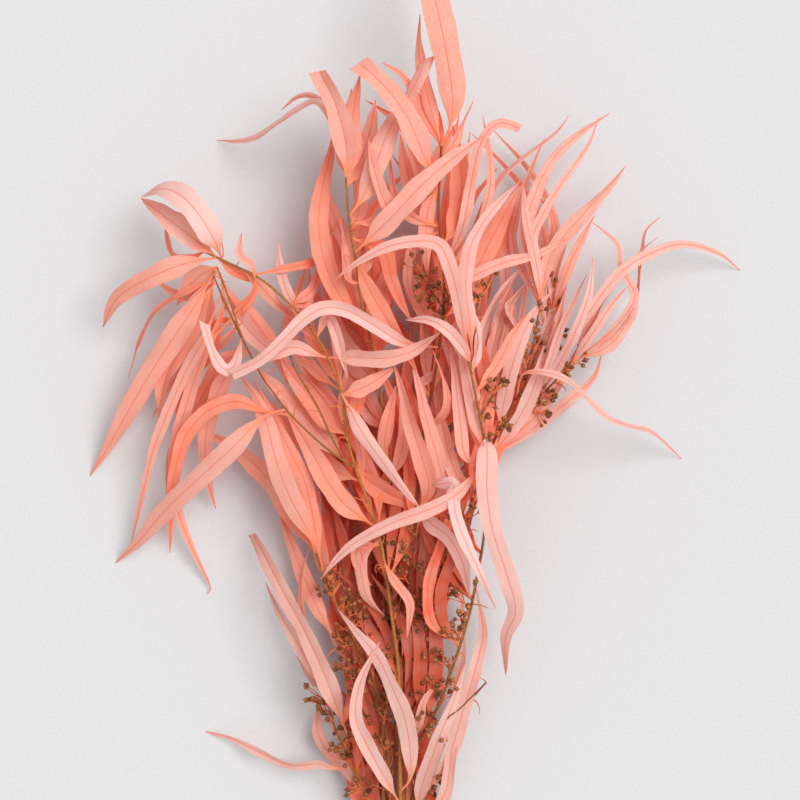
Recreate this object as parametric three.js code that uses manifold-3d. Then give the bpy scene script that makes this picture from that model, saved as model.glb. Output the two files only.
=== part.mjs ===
// A bunch of preserved, dyed eucalyptus: long willow-like leaves and small woody buds on ten leafy stems,
// held by one rubber band and lying on its side. Millimetres. +X across, +Y towards the leaf tips, +Z up.
import * as THREE from 'three';
import { mergeVertices } from 'three/addons/utils/BufferGeometryUtils.js';
import Module from 'manifold-3d';

const wasm = await Module();
wasm.setup();

// --- Driving dimensions -------------------------------------------------------------------------------

const EYE_HEIGHT = 1600;              // the places below are read from here, above (0, EYE_Y)
const EYE_Y = 280;
const BLADE_THICKNESS = 0.7;
const BLADE_STEP = 35;                // length of a facet along a leaf
const BLADE_MOST_STEPS = 6;
const BLADE_FEWEST_STEPS = 3;
const RING_CROWDING = 1.25;           // above 1, a leaf's rings lie closer together near its base
const PETIOLE_PART = 0.09;            // the stalk's part of a leaf's length
const PETIOLE_WIDTH = 1.7;
const PETIOLE_THICKNESS = 1.3;
const TIP_WIDTH = 1.1;
const BROAD_BASE = 0.62;              // below 1, a leaf is broadest nearer its base
const FULL_SIDES = 0.72;              // below 1, it keeps its breadth for longer
const BLUNT_TIP = 0.72;               // a torn end's part of the full width
const BEND_ROOM = 0.75;               // a leaf's half width, as a part of the room inside its bend
const NARROWEST_LEAF = 8.5;           // a leaf that looks narrower is turned on its edge
const STEEPEST_LEAN = 64;             // degrees that such a leaf may be turned
const ROLL = 22;                      // degrees that a leaf may lean to either side
const TWIST = 38;                     // degrees that its tip may turn from its middle
const LOWEST_MIDDLE = 4;
const GAP = 0.4;                      // least room between two leafy stems
const CROSSING = 0.05;                // leaves of one stem that come closer than this cross each other
const SMALLEST_FACET = 0.2;           // slivers thinner than this are smoothed away where pieces are fused
const LIFTS = [0, 3, -3, 6, -6, 9, -9, 13, -13, 17, -17, 22, -22];

const STEM_STEP = 34;
const STEM_SIDES = 5;
const TWIG_SIDES = 3;
const TWIG_STEP = 18;
const TWIG_RADIUS = [1.1, 0.7];
const STEM_TIP_RADIUS = 0.95;

const BUD_LENGTH = 6;
const BUD_RADIUS = 2.1;
const BUD_SIDES = 3;
const BUD_POINT = 0.3;
const STALK_RADIUS = 0.55;
const STALK_BACK = 9;                 // a bud's stalk leaves its twig this far below the bud
const BUD_RISE = 4;                   // height of a bud above its twig
const SEEK_HEIGHT = 40;               // height from which the stem nearest to a leaf or bud is sought
const BUD_LIFTS = [0, 3, -3, 6, -6, 10, -10];

const BAND_Y = -60;
const BAND_WIDTH = 7;
const BAND_THICKNESS = 1.6;
const BAND_CURVE_STEPS = 3;
const BAND_INSIDE = { halfWidth: 11.9, low: 1.6, high: 18.0, corner: 6 };
const CUT_Y = -122;
const CUT_SPLAY = 1.7;
const CUT_LOW = 3.2;
const CUT_RISE = 0.9;                 // a cut end's height in the bunch, as a part of its height in the band

// --- Colours ------------------------------------------------------------------------------------------

const LEAF = new THREE.MeshStandardMaterial({ color: 0xf0998a, roughness: 0.62, metalness: 0 });
const RUBBER = new THREE.MeshStandardMaterial({ color: 0xb98a55, roughness: 0.7, metalness: 0 });

// --- Layout -------------------------------------------------------------------------------------------
// A stem's route, base to tip, is 'u,v,z ...': across, along and above the surface. Its slot is its place
// in the rubber band. Twigs have routes of their own. A leaf is [width, height at its middle, height at its
// tip, 'u,v ...' from stem to tip, and 'blunt' where the end is torn]. Buds are 'u,v ...'.

const STEMS = {
  a: {
    slot: [0.5, 14.8], radius: 2.3,
    route: '0,20,38 -1,88,48 -6,130,54 -13,178,62 -23,210,66 -31,232,68 -37,254,71 -40,281,74 '
      + '-50,309,78 -63,331,78 -80,350,74 -98,365,70 -118,375,66 -137,384,60',
    twigs: [
      '-31,232,68 -50,245,72 -75,268,72 -90,287,71 -97,297,70 -110,323,68 -120,352,66 -128,373,62',
      '-106,312,69 -113,328,64 -122,347,62 -131,368,61',
      '-38,238,68 -48,254,70 -58,276,72 -72,299,72 -77,311,72',
    ],
  },
  b: {
    slot: [-5.4, 14.8], radius: 1.9,
    route: '-7,10,25 -9,40,29 -13,65,33 -19,84,37 -26,100,40 -33,113,42 -46,140,45 -52,152,45 -59,173,46',
    twigs: ['-33,113,42 -38,108,44 -46,112,45', '-19,84,37 -30,88,40 -42,95,42'],
  },
  c: {
    slot: [-8.4, 9.8], radius: 1.8,
    route: '-14,-18,22 -22,0,25 -30,15,28 -36,28,30 -41,40,32 -46,52,33 -50,66,33 -54,77,34',
    twigs: ['-41,40,32 -36,46,34 -33,52,34'],
  },
  d: {
    slot: [-2.7, 9.8], radius: 2.3,
    route: '-10,-20,14 -12,20,18 -12,60,22 -12,100,26 -10,150,34 -8,200,42 -8,240,52 -12,275,60 '
      + '-17,305,70 -21,324,78 -26,342,82 -31,378,84 -35,400,84 -38,436,85',
    twigs: [],
  },
  e: {
    slot: [3, 9.8], radius: 2.6,
    route: '-2,10,26 -3,45,30 -1,80,34 2,108,38 6,140,44 8,170,48 11,195,50 13,225,54 17,260,60 '
      + '24,295,66 29,330,72 31,355,76 30,380,80 28,400,83 27,418,83 29,458,84',
    twigs: ['29,345,74 22,356,78 14,368,80', '30,335,72 34,350,80 30,362,84'],
  },
  f: {
    slot: [6.2, 14.8], radius: 2.2,
    route: '5,10,27 10,33,30 18,50,34 27,66,40 34,85,44 40,102,48 49,132,55 54,157,60 59,188,68 '
      + '60,230,78 59,252,84 53,283,92 48,307,96',
    twigs: [
      '54,157,60 49,172,68 48,187,72 53,209,76',
      '57,268,88 63,280,88 70,292,86',
      '59,252,84 68,258,84 76,265,82',
      '43,112,50 38,118,53 32,120,54',
      '36,88,45 33,98,48 28,102,50',
      '27,66,40 25,80,44 23,85,46',
      '50,297,94 52,330,88 55,350,82 62,362,78 65,373,76',
    ],
  },
  g: {
    slot: [8.7, 9.8], radius: 2.2,
    route: '8,-20,13 10,10,16 12,60,22 28,130,30 45,190,38 58,230,44 72,262,48 86,290,50 98,318,50 '
      + '106,342,48 112,362,46',
    twigs: ['72,262,48 95,280,46 115,300,44 128,312,42', '86,290,50 90,305,58 95,328,64 98,346,68'],
  },
  h: {
    slot: [0, 4.8], radius: 2,
    route: '-1,0,13 0,40,20 2,80,25 6,104,31 12,121,38 20,130,42 27,142,46 31,160,50 34,200,56',
    twigs: ['12,121,38 14,140,46 20,160,52', '27,142,46 34,143,50 40,146,52'],
  },
  i: {
    slot: [-5.6, 4.8], radius: 1.8,
    route: '-10,-20,7 -14,20,11 -18,62,14 -22,130,17 -18,175,20',
    twigs: ['-20,96,15 -16,112,30 -12,140,42 -8,170,50'],
  },
  j: {
    slot: [5.6, 4.8], radius: 1.9,
    route: '10,-20,8 16,5,12 24,30,16 31,50,19 36,72,21',
    twigs: ['31,50,19 44,64,22 60,82,24'],
  },
};

const LEAVES = {
  a: [
    [18, 45, 0, '-129,373 -140,352 -156,327 -174,300 -191,271 -205,246 -217,227'],
    [18, 50, 30, '-130,361 -141,342 -154,317 -165,294 -169,268'],
    [16, 66, 25, '-127,376 -145,377 -163,371 -182,362 -199,350 -208,331'],
    [4, 40, 12, '-131,362 -150,356 -170,343 -182,322 -190,296'],
    [9, 40, 20, '-130,360 -145,354 -158,355 -173,366'],
    [6, 45, 35, '-137,384 -150,378 -160,383 -165,403'],
    [20, 85, 45, '-122,378 -131,394 -141,410 -153,423 -167,428 -181,422'],
    [17, 70, 40, '-126,379 -138,388 -152,399 -166,410 -181,421'],
    [5, 72, 70, '-98,366 -104,375 -112,382 -111,397'],
    [7, 62, 58, '-126,377 -112,368 -92,361'],
    [9, 58, 45, '-108,370 -98,360 -86,347 -70,335'],
    [8, 60, 55, '-66,334 -76,349 -83,368 -86,393'],
    [15, 52, 40, '-126,366 -119,349 -109,332 -95,318 -76,306'],
    [9, 84, 80, '-56,323 -51,338 -44,325 -37,296'],
    [11, 82, 80, '-41,285 -36,275 -27,258 -13,238 3,217 15,203'],
    [17, 60, 0, '-80,272 -96,268 -118,246 -142,224 -165,202 -183,181 -199,166'],
    [12, 50, 8, '-76,268 -97,273 -115,279 -135,272 -150,255 -157,232 -160,208 -161,173'],
    [10, 35, 5, '-122,347 -140,305 -150,275 -158,240 -156,205 -145,175 -133,150 -135,144'],
    [9, 45, 10, '-125,352 -137,324 -150,300 -162,273 -172,247 -180,215 -188,180'],
    [9, 38, 10, '-115,337 -137,315 -146,285 -152,262 -161,238 -163,203'],
    [5, 45, 40, '-113,330 -131,313 -140,303'],
    [13, 40, 8, '-106,313 -121,298 -131,276 -136,255 -136,235 -133,218 -129,204'],
    [15, 55, 50, '-38,256 -50,262 -62,280 -75,297 -85,312'],
    [14, 50, 45, '-36,250 -43,268 -57,290 -72,312 -82,325'],
    [13, 88, 80, '-50,309 -35,310 -12,309 8,314 28,327'],
    [11, 82, 80, '-50,309 -62,313 -75,317 -92,310 -106,302 -117,296'],
    [14, 62, 55, '1,5 7,15 7,35 3,58 -7,82 -17,102 -30,117 -44,134'],
    [12, 66, 60, '0,-5 -12,18 -24,40 -31,58 -28,82 -14,111'],
    [9, 58, 50, '-15,180 -30,176 -27,160 -20,150'],
    [10, 52, 46, '-15,183 -27,170 -26,152 -22,140 -11,129'],
    [7, 66, 58, '-11,168 -3,152 7,137 5,114'],
    [13, 78, 74, '-40,283 -30,287 -18,293 -3,303'],
    [17, 62, 55, '-21,191 -38,206 -50,222 -60,240 -70,257 -80,272'],
    [15, 50, 46, '-31,232 -20,222 -6,213 8,208 20,203'],
    [9, 80, 76, '-110,322 -116,304 -124,302 -132,316 -137,334', 'blunt'],
    [14, 46, 40, '-120,352 -110,344 -98,330 -87,312 -79,292'],
    [18, 50, 46, '-38,235 -50,250 -66,268 -84,286 -102,303'],
    [16, 42, 38, '-33,222 -48,232 -62,246 -78,262 -92,280'],
    [14, 40, 22, '-112,312 -124,306 -133,292 -142,276 -148,262'],
    [16, 50, 32, '-128,372 -138,368 -146,362 -152,354 -156,346'],
  ],
  d: [
    [18, 92, 95, '-38,436 -38,458 -45,486 -57,510', 'blunt'],
    [12, 80, 92, '-38,436 -32,450 -33,478 -28,508'],
    [17, 88, 85, '-31,405 -25,424 -17,445 -8,468 3,487 12,503 18,518', 'blunt'],
    [11, 90, 88, '-31,400 -8,407 -13,425 -19,445 -22,463'],
    [5, 80, 75, '-30,359 -36,364 -38,378 -40,392 -42,408'],
    [14, 84, 70, '-31,378 -22,358 -10,337 2,318 12,300'],
    [16, 60, 50, '-22,325 -33,340 -46,360 -54,382 -57,405 -54,430 -48,455 -46,475'],
    [14, 50, 45, '-24,333 -34,345 -43,365 -47,385 -44,406'],
    [6, 70, 0, '-38,436 -45,470 -57,488 -70,484 -85,474 -100,464 -114,461 -128,462'],
    [4, 72, 60, '-38,436 -48,480 -60,492 -72,492 -83,483'],
    [17, 100, 95, '-31,380 -20,394 -5,409 13,428 34,447 59,465'],
    [12, 72, 66, '-33,390 -12,385 -6,365 1,348 8,335'],
    [17, 52, 48, '-21,324 -15,345 -9,362 -3,379 3,397'],
    [11, 66, 64, '-8,240 -11,250 -8,268 -3,290'],
    [10, 60, 58, '-7,225 0,240 3,262 0,285'],
    [16, 60, 58, '-36,425 -28,447 -21,468 -17,490'],
    [14, 56, 54, '-38,430 -38,452 -36,474 -34,498'],
    [18, 46, 44, '-14,290 -28,304 -39,318 -45,332 -46,350'],
    [17, 38, 36, '-10,258 -19,270 -24,284 -22,299 -16,312'],
    [15, 34, 32, '-10,170 -4,195 0,220 -2,250 -8,280'],
    [15, 50, 48, '-17,305 -14,330 -12,352 -14,374 -18,394'],
  ],
  e: [
    [22, 95, 60, '29,456 35,472 37,490 34,515 28,545 19,580 6,618'],
    [18, 105, 100, '27,433 19,446 13,461 5,478 -6,494 -17,506 -29,516', 'blunt'],
    [10, 80, 75, '29,455 24,475 19,494 15,511 13,530 14,550'],
    [9, 78, 76, '29,452 18,478 9,497 0,509 -12,516'],
    [8, 75, 72, '29,450 27,470 22,487 16,498'],
    [4, 80, 70, '29,445 38,460 44,474 51,489'],
    [18, 62, 60, '30,385 40,405 43,430 41,452 37,472'],
    [9, 65, 62, '29,415 18,430 9,452 4,473'],
    [7, 78, 74, '28,398 8,408 -3,422 -6,440 -8,457'],
    [12, 78, 72, '27,424 20,415 18,395 19,368'],
    [8, 60, 55, '27,430 15,455 0,474 -12,483 -24,490'],
    [8, 66, 60, '28,395 10,388 5,365 10,345'],
    [9, 75, 80, '31,368 44,402 50,434 55,456 62,469 71,474 84,470', 'blunt'],
    [7, 70, 65, '31,365 52,395 62,423 63,446 58,479'],
    [6, 60, 45, '32,350 50,390 61,420 71,436 84,448 99,459 111,469 118,479'],
    [12, 75, 60, '12,205 22,193 33,185 43,168 49,142'],
    [9, 80, 60, '32,352 50,366 72,376 96,382 117,393'],
    [18, 58, 52, '32,345 50,366 61,387 72,408 84,430'],
    [14, 78, 76, '12,200 20,218 15,240 8,262 2,285 -4,305'],
    [12, 74, 70, '13,205 30,215 26,240 19,265 13,290 8,310'],
    [5, 82, 84, '17,258 32,272 32,290 23,315'],
    [8, 58, 56, '20,283 14,290 30,303'],
    [11, 96, 84, '29,316 14,318 0,321 -18,332 -38,343 -55,344 -68,336 -82,322 -98,308 -118,298', 'blunt'],
    [10, 100, 75, '13,222 27,221 37,221 38,205 43,187 53,165 67,134'],
    [14, 62, 60, '28,398 16,412 8,430 3,448 0,466'],
    [18, 44, 42, '17,260 23,280 27,299 25,319 20,340'],
    [13, 50, 50, '29,330 18,340 10,355 4,372 2,392'],
    [16, 50, 48, '30,335 50,355 62,375 72,395 80,415'],
  ],
  f: [
    [11, 115, 95, '48,307 45,326 41,350 35,373 27,389 8,391 -12,386 -30,376 -46,364'],
    [11, 108, 85, '48,307 49,333 46,360 49,386 58,404 71,420 84,433'],
    [9, 108, 95, '49,303 43,318 33,329 20,336 4,336'],
    [4, 98, 95, '50,298 55,318 54,332 50,345'],
    [14, 100, 40, '59,254 61,238 61,215 65,188 74,160 81,133 74,114 74,88'],
    [11, 92, 70, '60,240 52,228 40,214 22,204 -5,194 -30,181 -45,168 -56,154'],
    [12, 84, 75, '59,244 54,262 50,285 45,305 40,325'],
    [10, 78, 72, '57,235 46,240 42,265 39,292 35,318'],
    [11, 74, 66, '60,222 42,224 34,243 29,265 24,288'],
    [9, 92, 88, '53,285 63,298 69,306 78,324 89,340'],
    [6, 66, 60, '50,298 57,325 65,345 75,361 88,375'],
    [8, 60, 58, '57,262 60,285 60,310 66,335'],
    [12, 56, 54, '57,270 62,295 66,320 72,345 80,365'],
  ],
  g: [
    [8, 50, 40, '86,352 80,385 82,412 90,437 101,463'],
    [12, 62, 35, '92,352 88,395 95,425 108,450 125,466 147,481'],
    [8, 55, 38, '98,348 93,390 100,410 112,430 124,447 133,461 139,478'],
    [10, 75, 70, '98,349 97,365 93,387 88,408 86,432'],
    [14, 60, 30, '98,352 103,375 112,391 123,404 136,418 148,431 158,444'],
    [10, 58, 50, '108,342 113,360 120,378 128,394 136,409'],
    [8, 48, 45, '104,345 107,360 111,376 117,390'],
    [8, 50, 45, '128,312 150,330 164,350 160,363 154,375 153,388 144,397 134,405'],
    [10, 60, 0, '105,300 118,320 135,345 152,367 172,381 197,389 222,383 238,371'],
    [3, 45, 20, '128,312 152,330 165,350 169,378 172,398 182,408'],
    [4, 50, 35, '118,303 140,345 158,371 170,385 180,394'],
    [12, 45, 40, '126,308 145,317 157,331 164,346 163,362'],
    [9, 55, 50, '118,303 137,330 147,345 158,358'],
    [10, 75, 70, '98,285 115,312 125,333 133,357 135,380'],
    [8, 65, 60, '92,280 104,303 112,328 121,348 131,368'],
    [7, 60, 58, '90,300 101,305 108,322 112,340 116,358'],
    [15, 70, 65, '66,255 75,290 82,315 92,338 108,358'],
    [3, 62, 60, '70,320 75,343 79,351 87,360 95,363'],
    [12, 35, 25, '62,238 83,254 102,267 121,282 136,296 141,312'],
    [14, 55, 50, '62,240 80,262 92,285 100,310 106,332'],
    [12, 45, 42, '64,242 88,262 103,280 116,300 128,322'],
    [5, 70, 0, '78,283 86,298 104,299 120,292 133,279 145,268 160,262 177,257 197,239'],
    [13, 48, 46, '86,290 80,322 75,352 74,380 79,408'],
    [9, 60, 58, '72,262 72,290 72,318 78,345'],
  ],
  b: [
    [17, 70, 50, '-59,173 -66,191 -77,212 -87,238 -93,262 -101,282 -112,297'],
    [12, 58, 45, '-56,160 -65,217 -73,236 -81,252 -90,270 -102,293'],
    [16, 30, 18, '-58,169 -73,196 -90,222 -108,240 -125,252 -143,260'],
    [6, 35, 30, '-19,84 -33,90 -43,108 -51,128'],
    [12, 28, 26, '-50,150 -56,175 -58,195 -57,218'],
    [12, 30, 22, '-46,115 -58,135 -68,158 -77,182 -86,206'],
  ],
  c: [
    [15, 60, 25, '-38,45 -46,70 -55,92 -67,118 -80,142 -91,163 -103,186', 'blunt'],
    [9, 45, 20, '-53,75 -62,92 -73,112 -84,130 -94,152'],
    [6, 40, 30, '-48,60 -60,100 -69,135 -69,158 -63,178'],
    [6, 28, 20, '-53,76 -65,90 -73,101'],
    [11, 22, 18, '-22,0 -30,11 -36,19 -49,32 -57,45 -58,58 -55,72'],
    [7, 20, 0, '-33,21 -45,22 -58,25 -77,24 -98,33 -118,43 -136,48'],
  ],
  h: [
    [18, 40, 45, '1,75 7,92 15,112 26,133'],
    [11, 36, 38, '0,45 14,62 20,82 24,102'],
    [8, 44, 42, '2,35 12,52 17,70 27,82'],
    [14, 40, 38, '12,121 17,150 19,175 17,200 12,225'],
  ],
  i: [
    [9, 24, 22, '-12,62 -28,105 -37,140 -42,170 -47,202'],
    [8, 20, 16, '-12,62 -30,120 -36,160 -42,195'],
    [14, 22, 20, '-18,150 -22,185 -24,215 -22,245 -18,275'],
  ],
  j: [
    [12, 35, 30, '10,-5 22,10 34,30 44,62 53,93 58,118 53,150'],
    [12, 45, 40, '7,-15 14,5 26,40 38,70 46,97'],
    [10, 28, 26, '12,-10 24,-5 32,6 36,34 40,62'],
    [3, 26, 24, '36,72 44,100 44,125 43,148'],
  ],
};

const BUDS = {
  a: '',
  b: '-58,149 -49,160 -35,142 -25,135 -46,115 -34,110 -45,95',
  c: '-66,79 -60,71 -50,61 -33,50 -48,39 -36,34 -37,7',
  d: '-20,112 -8,127 -15,150 -23,70',
  e: '8,382 16,368 27,362 20,350 32,350 3,178 0,160',
  f: '65,372 52,354 64,296 75,293 65,280 77,262 48,196 53,153 42,130 31,120 27,105 25,98 37,84 22,86 33,50',
  g: '106,369 115,359 95,328 88,296 116,329 117,299 98,280 105,270 130,308',
  h: '20,163 26,175 15,145 30,160 38,146 22,114 13,103',
  i: '-10,105 -10,120 -18,172 -2,180',
  j: '29,18 30,13 22,5',
};

// Leaves that only show in the gaps between the others and underneath: [stem, how many, first and last
// place along the stem, height of their middles]. Their spread stays within the bunch's own outline.
const FILLING = [
  ['a', 5, 0.4, 0.75, 42],
  ['b', 3, 0.45, 0.98, 24],
  ['c', 1, 0.5, 0.95, 16],
  ['d', 6, 0.3, 0.88, 34],
  ['e', 6, 0.3, 0.84, 40],
  ['f', 5, 0.35, 0.95, 50],
  ['g', 5, 0.3, 0.97, 24],
  ['h', 4, 0.3, 0.98, 26],
  ['i', 3, 0.35, 0.95, 14],
  ['j', 1, 0.35, 0.95, 14],
];
const FILLING_LENGTH = [95, 150];
const FILLING_WIDTH = [15, 20];
const FILLING_STEPS = 4;
const FILLING_TURN = [6, 30];         // degrees away from the stem's own direction
const FILLING_BEND = [-8, 22];        // degrees of bend at each step
const FILLING_MIDDLE = [0.6, 1.3];    // height of the middle and of the tip, as parts of the stem's height
const FILLING_TIP = [0.3, 1.1];
const FILLING_TWIST = 20;             // degrees
const OUTLINE_LEFT = [[0, -24], [100, -38], [180, -44], [230, -60], [300, -84], [340, -70], [370, -56],
  [480, -48], [520, -30]];
const OUTLINE_RIGHT = [[0, 16], [60, 18], [130, 20], [200, 40], [260, 70], [330, 106], [400, 110],
  [440, 86], [480, 48], [520, 30]];

// --- Numbers and draws --------------------------------------------------------------------------------

const radians = (degrees) => degrees * Math.PI / 180;
const mix = (from, to, part) => from + (to - from) * part;
const rows = (text) => text.split(' ').filter(Boolean).map((row) => row.split(',').map(Number));

function stream(name) {
  let state = 7;
  for (const letter of name) state = (state * 31 + letter.charCodeAt(0)) % 65521;
  return () => {
    state = (state + 0x6D2B79F5) | 0;
    let bits = Math.imul(state ^ (state >>> 15), 1 | state);
    bits = (bits + Math.imul(bits ^ (bits >>> 7), 61 | bits)) ^ bits;
    return ((bits ^ (bits >>> 14)) >>> 0) / 4294967296;
  };
}

function between(table, at) {
  let last = table[0];
  for (const row of table) {
    if (row[0] >= at) return mix(last[1], row[1], (at - last[0]) / Math.max(row[0] - last[0], 1e-9));
    last = row;
  }
  return last[1];
}

// --- Curves -------------------------------------------------------------------------------------------

function place(u, v, z) {
  const shrink = 1 - z / EYE_HEIGHT;
  return new THREE.Vector3(u * shrink, EYE_Y + (v - EYE_Y) * shrink, z);
}

const curveOf = (points) => new THREE.CatmullRomCurve3(points, false, 'catmullrom', 0.5);

// The place on the stem or its twigs that lies nearest, as seen from above, and how far up its path it is.
function nearestOn(paths, target) {
  let best = { distance: Infinity };
  for (const path of paths) {
    for (let index = 0; index < path.length - 1; index += 1) {
      const [start, end] = [path[index], path[index + 1]];
      const [run, rise] = [end.x - start.x, end.y - start.y];
      const along = ((target.x - start.x) * run + (target.y - start.y) * rise) / (run * run + rise * rise);
      const part = Math.min(Math.max(along, 0), 1);
      const point = start.clone().lerp(end, part);
      const distance = Math.hypot(point.x - target.x, point.y - target.y);
      if (distance < best.distance) best = { distance, point, path, at: index + part };
    }
  }
  return best;
}

function pointAlong(path, at) {
  const index = Math.min(Math.max(Math.floor(at), 0), path.length - 2);
  return path[index].clone().lerp(path[index + 1], Math.max(at - index, 0));
}

// --- Solids -------------------------------------------------------------------------------------------

// Joins rings of corners, each counter-clockwise as seen from the curve's end, into one closed body.
// Opposite faces of a four-cornered ring are split along matching diagonals.
function loft(rings) {
  const sides = rings[0].length;
  const last = rings.length - 1;
  const corners = rings.flat();
  const faces = [];
  for (let ring = 0; ring < last; ring += 1) {
    for (let side = 0; side < sides; side += 1) {
      const next = (side + 1) % sides;
      const a = ring * sides + side;
      const b = ring * sides + next;
      const c = a + sides;
      const d = b + sides;
      if (sides === 4 && side >= 2) faces.push(a, c, b, b, c, d);
      else faces.push(a, d, b, a, c, d);
    }
  }
  for (let side = 1; side < sides - 1; side += 1) {
    faces.push(0, side, side + 1);
    faces.push(last * sides, last * sides + side + 1, last * sides + side);
  }
  const geometry = new THREE.BufferGeometry();
  geometry.setAttribute('position', new THREE.Float32BufferAttribute(corners.flatMap((p) => p.toArray()), 3));
  geometry.setIndex(faces);
  return geometry;
}

function solidOf(geometry) {
  const merged = mergeVertices(geometry, 1e-4);
  return new wasm.Manifold(new wasm.Mesh({
    numProp: 3,
    vertProperties: merged.attributes.position.array,
    triVerts: new Uint32Array(merged.index.array),
  }));
}

// The direction along each point of a row, and the two directions across it.
function frames(points) {
  return points.map((point, index) => {
    const before = points[Math.max(index - 1, 0)];
    const after = points[Math.min(index + 1, points.length - 1)];
    const along = after.clone().sub(before).normalize();
    const side = along.clone().cross(new THREE.Vector3(0, 0, 1)).normalize();
    const normal = side.clone().cross(along);
    return { point, along, side, normal };
  });
}

function tube(points, radiusAt, sides) {
  const rings = frames(points).map(({ point, side, normal }, index) => {
    const radius = radiusAt(index / (points.length - 1));
    return Array.from({ length: sides }, (_, corner) => {
      const angle = (corner / sides) * 2 * Math.PI;
      return point.clone()
        .addScaledVector(side, radius * Math.cos(angle))
        .addScaledVector(normal, radius * Math.sin(angle));
    });
  });
  return solidOf(loft(rings));
}

// --- Leaves -------------------------------------------------------------------------------------------

function widthAt(part, width, blunt) {
  if (part <= PETIOLE_PART) return PETIOLE_WIDTH;
  const blade = (part - PETIOLE_PART) / (1 - PETIOLE_PART);
  const shape = Math.max(Math.sin(Math.PI * Math.min(blade, 1) ** BROAD_BASE), 0) ** FULL_SIDES;
  const least = blunt && blade > 0.4 ? width * BLUNT_TIP : TIP_WIDTH;
  return Math.max(width * shape, least, TIP_WIDTH);
}

// A leaf's middle line: from its stem through its own places, at heights on one arch.
function leafLine(root, leaf, middle, tip) {
  const flat = [[root.u, root.v], ...leaf.route.slice(1)];
  const lengths = [0];
  for (let index = 1; index < flat.length; index += 1) {
    const step = Math.hypot(flat[index][0] - flat[index - 1][0], flat[index][1] - flat[index - 1][1]);
    lengths.push(lengths[index - 1] + step);
  }
  const total = lengths[lengths.length - 1];
  const points = flat.map(([u, v], index) => {
    const part = lengths[index] / total;
    const arch = root.z * (2 * part * part - 3 * part + 1) + middle * (4 * part - 4 * part * part)
      + tip * (2 * part * part - part);
    return place(u, v, index ? Math.max(arch, BLADE_THICKNESS / 2) : root.z);
  });
  return { curve: curveOf(points), total };
}

function leafSteps(total) {
  const wanted = Math.round(total / BLADE_STEP);
  return Math.min(Math.max(wanted, BLADE_FEWEST_STEPS), BLADE_MOST_STEPS);
}

// The places of a leaf's rings along it: its root, the end of its stalk, then the blade.
function leafParts(total) {
  const steps = leafSteps(total);
  const parts = [0];
  for (let step = 0; step < steps; step += 1) {
    parts.push(mix(PETIOLE_PART, 1, (step / (steps - 1)) ** RING_CROWDING));
  }
  return parts;
}

// The widest half that a ring may have before it folds into its neighbours, inside a bend.
function bendRoom(frame, before, after) {
  const turn = before.along.angleTo(after.along) / 2;
  const reach = Math.min(
    frame === before ? Infinity : frame.point.distanceTo(before.point),
    frame === after ? Infinity : frame.point.distanceTo(after.point),
  );
  return BEND_ROOM * reach / Math.max(Math.tan(turn), 0.01);
}

function leafRings(root, leaf, middle, tip) {
  const { curve, total } = leafLine(root, leaf, middle, tip);
  const parts = leafParts(total);
  const along = frames(parts.map((part) => curve.getPointAt(part)));
  return along.map((frame, index) => {
    const part = parts[index];
    const room = bendRoom(frame, along[Math.max(index - 1, 0)], along[Math.min(index + 1, along.length - 1)]);
    const half = Math.min(widthAt(part, leaf.width, leaf.blunt) / 2, room);
    const roll = part < 0.5 ? mix(0, leaf.roll, part * 2) : mix(leaf.roll, leaf.tipRoll, part * 2 - 1);
    const thickness = (part < PETIOLE_PART ? PETIOLE_THICKNESS : BLADE_THICKNESS) / 2;
    const across = frame.side.clone().multiplyScalar(Math.cos(roll));
    across.addScaledVector(frame.normal, Math.sin(roll));
    const up = across.clone().cross(frame.along);
    return [[-half, thickness], [-half, -thickness], [half, -thickness], [half, thickness]].map(
      ([x, y]) => frame.point.clone().addScaledVector(across, x).addScaledVector(up, y),
    );
  });
}

function dressed(name, [width, middle, tip, route, end]) {
  const random = stream(name);
  const trueWidth = Math.max(width, NARROWEST_LEAF);
  const lean = Math.acos(Math.min(width / trueWidth, 1));
  const sign = random() < 0.5 ? -1 : 1;
  const roll = lean > 0 ? sign * Math.min(lean, radians(STEEPEST_LEAN)) : radians(ROLL) * (random() * 2 - 1);
  const tipRoll = tip > 0 ? roll + radians(TWIST) * (random() * 2 - 1) : 0;
  return { name, width: trueWidth, middle, tip, route: rows(route), blunt: end === 'blunt', roll, tipRoll };
}

const fits = LIFTS.flatMap((middle) => LIFTS.map((tip) => [middle, tip]))
  .sort((a, b) => (Math.abs(a[0]) + Math.abs(a[1])) - (Math.abs(b[0]) + Math.abs(b[1])));

// --- Keeping leafy stems clear of each other ------------------------------------------------------------

const placed = [];

function boxesMeet(a, b) {
  return [0, 1, 2].every((axis) => a.min[axis] - GAP < b.max[axis] && b.min[axis] - GAP < a.max[axis]);
}

function isClear(solid, stem) {
  const box = solid.boundingBox();
  return placed.every((other) => other.stem === stem || !boxesMeet(box, other.box)
    || solid.minGap(other.solid, GAP * 2) >= GAP);
}

function crossesOwn(solid, stem) {
  const box = solid.boundingBox();
  return placed.some((other) => other.stem === stem && other.blade && boxesMeet(box, other.box)
    && solid.minGap(other.blade, GAP) < CROSSING);
}

function keep(solid, stem, blade) {
  placed.push({ solid, stem, blade, box: solid.boundingBox() });
}

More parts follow.
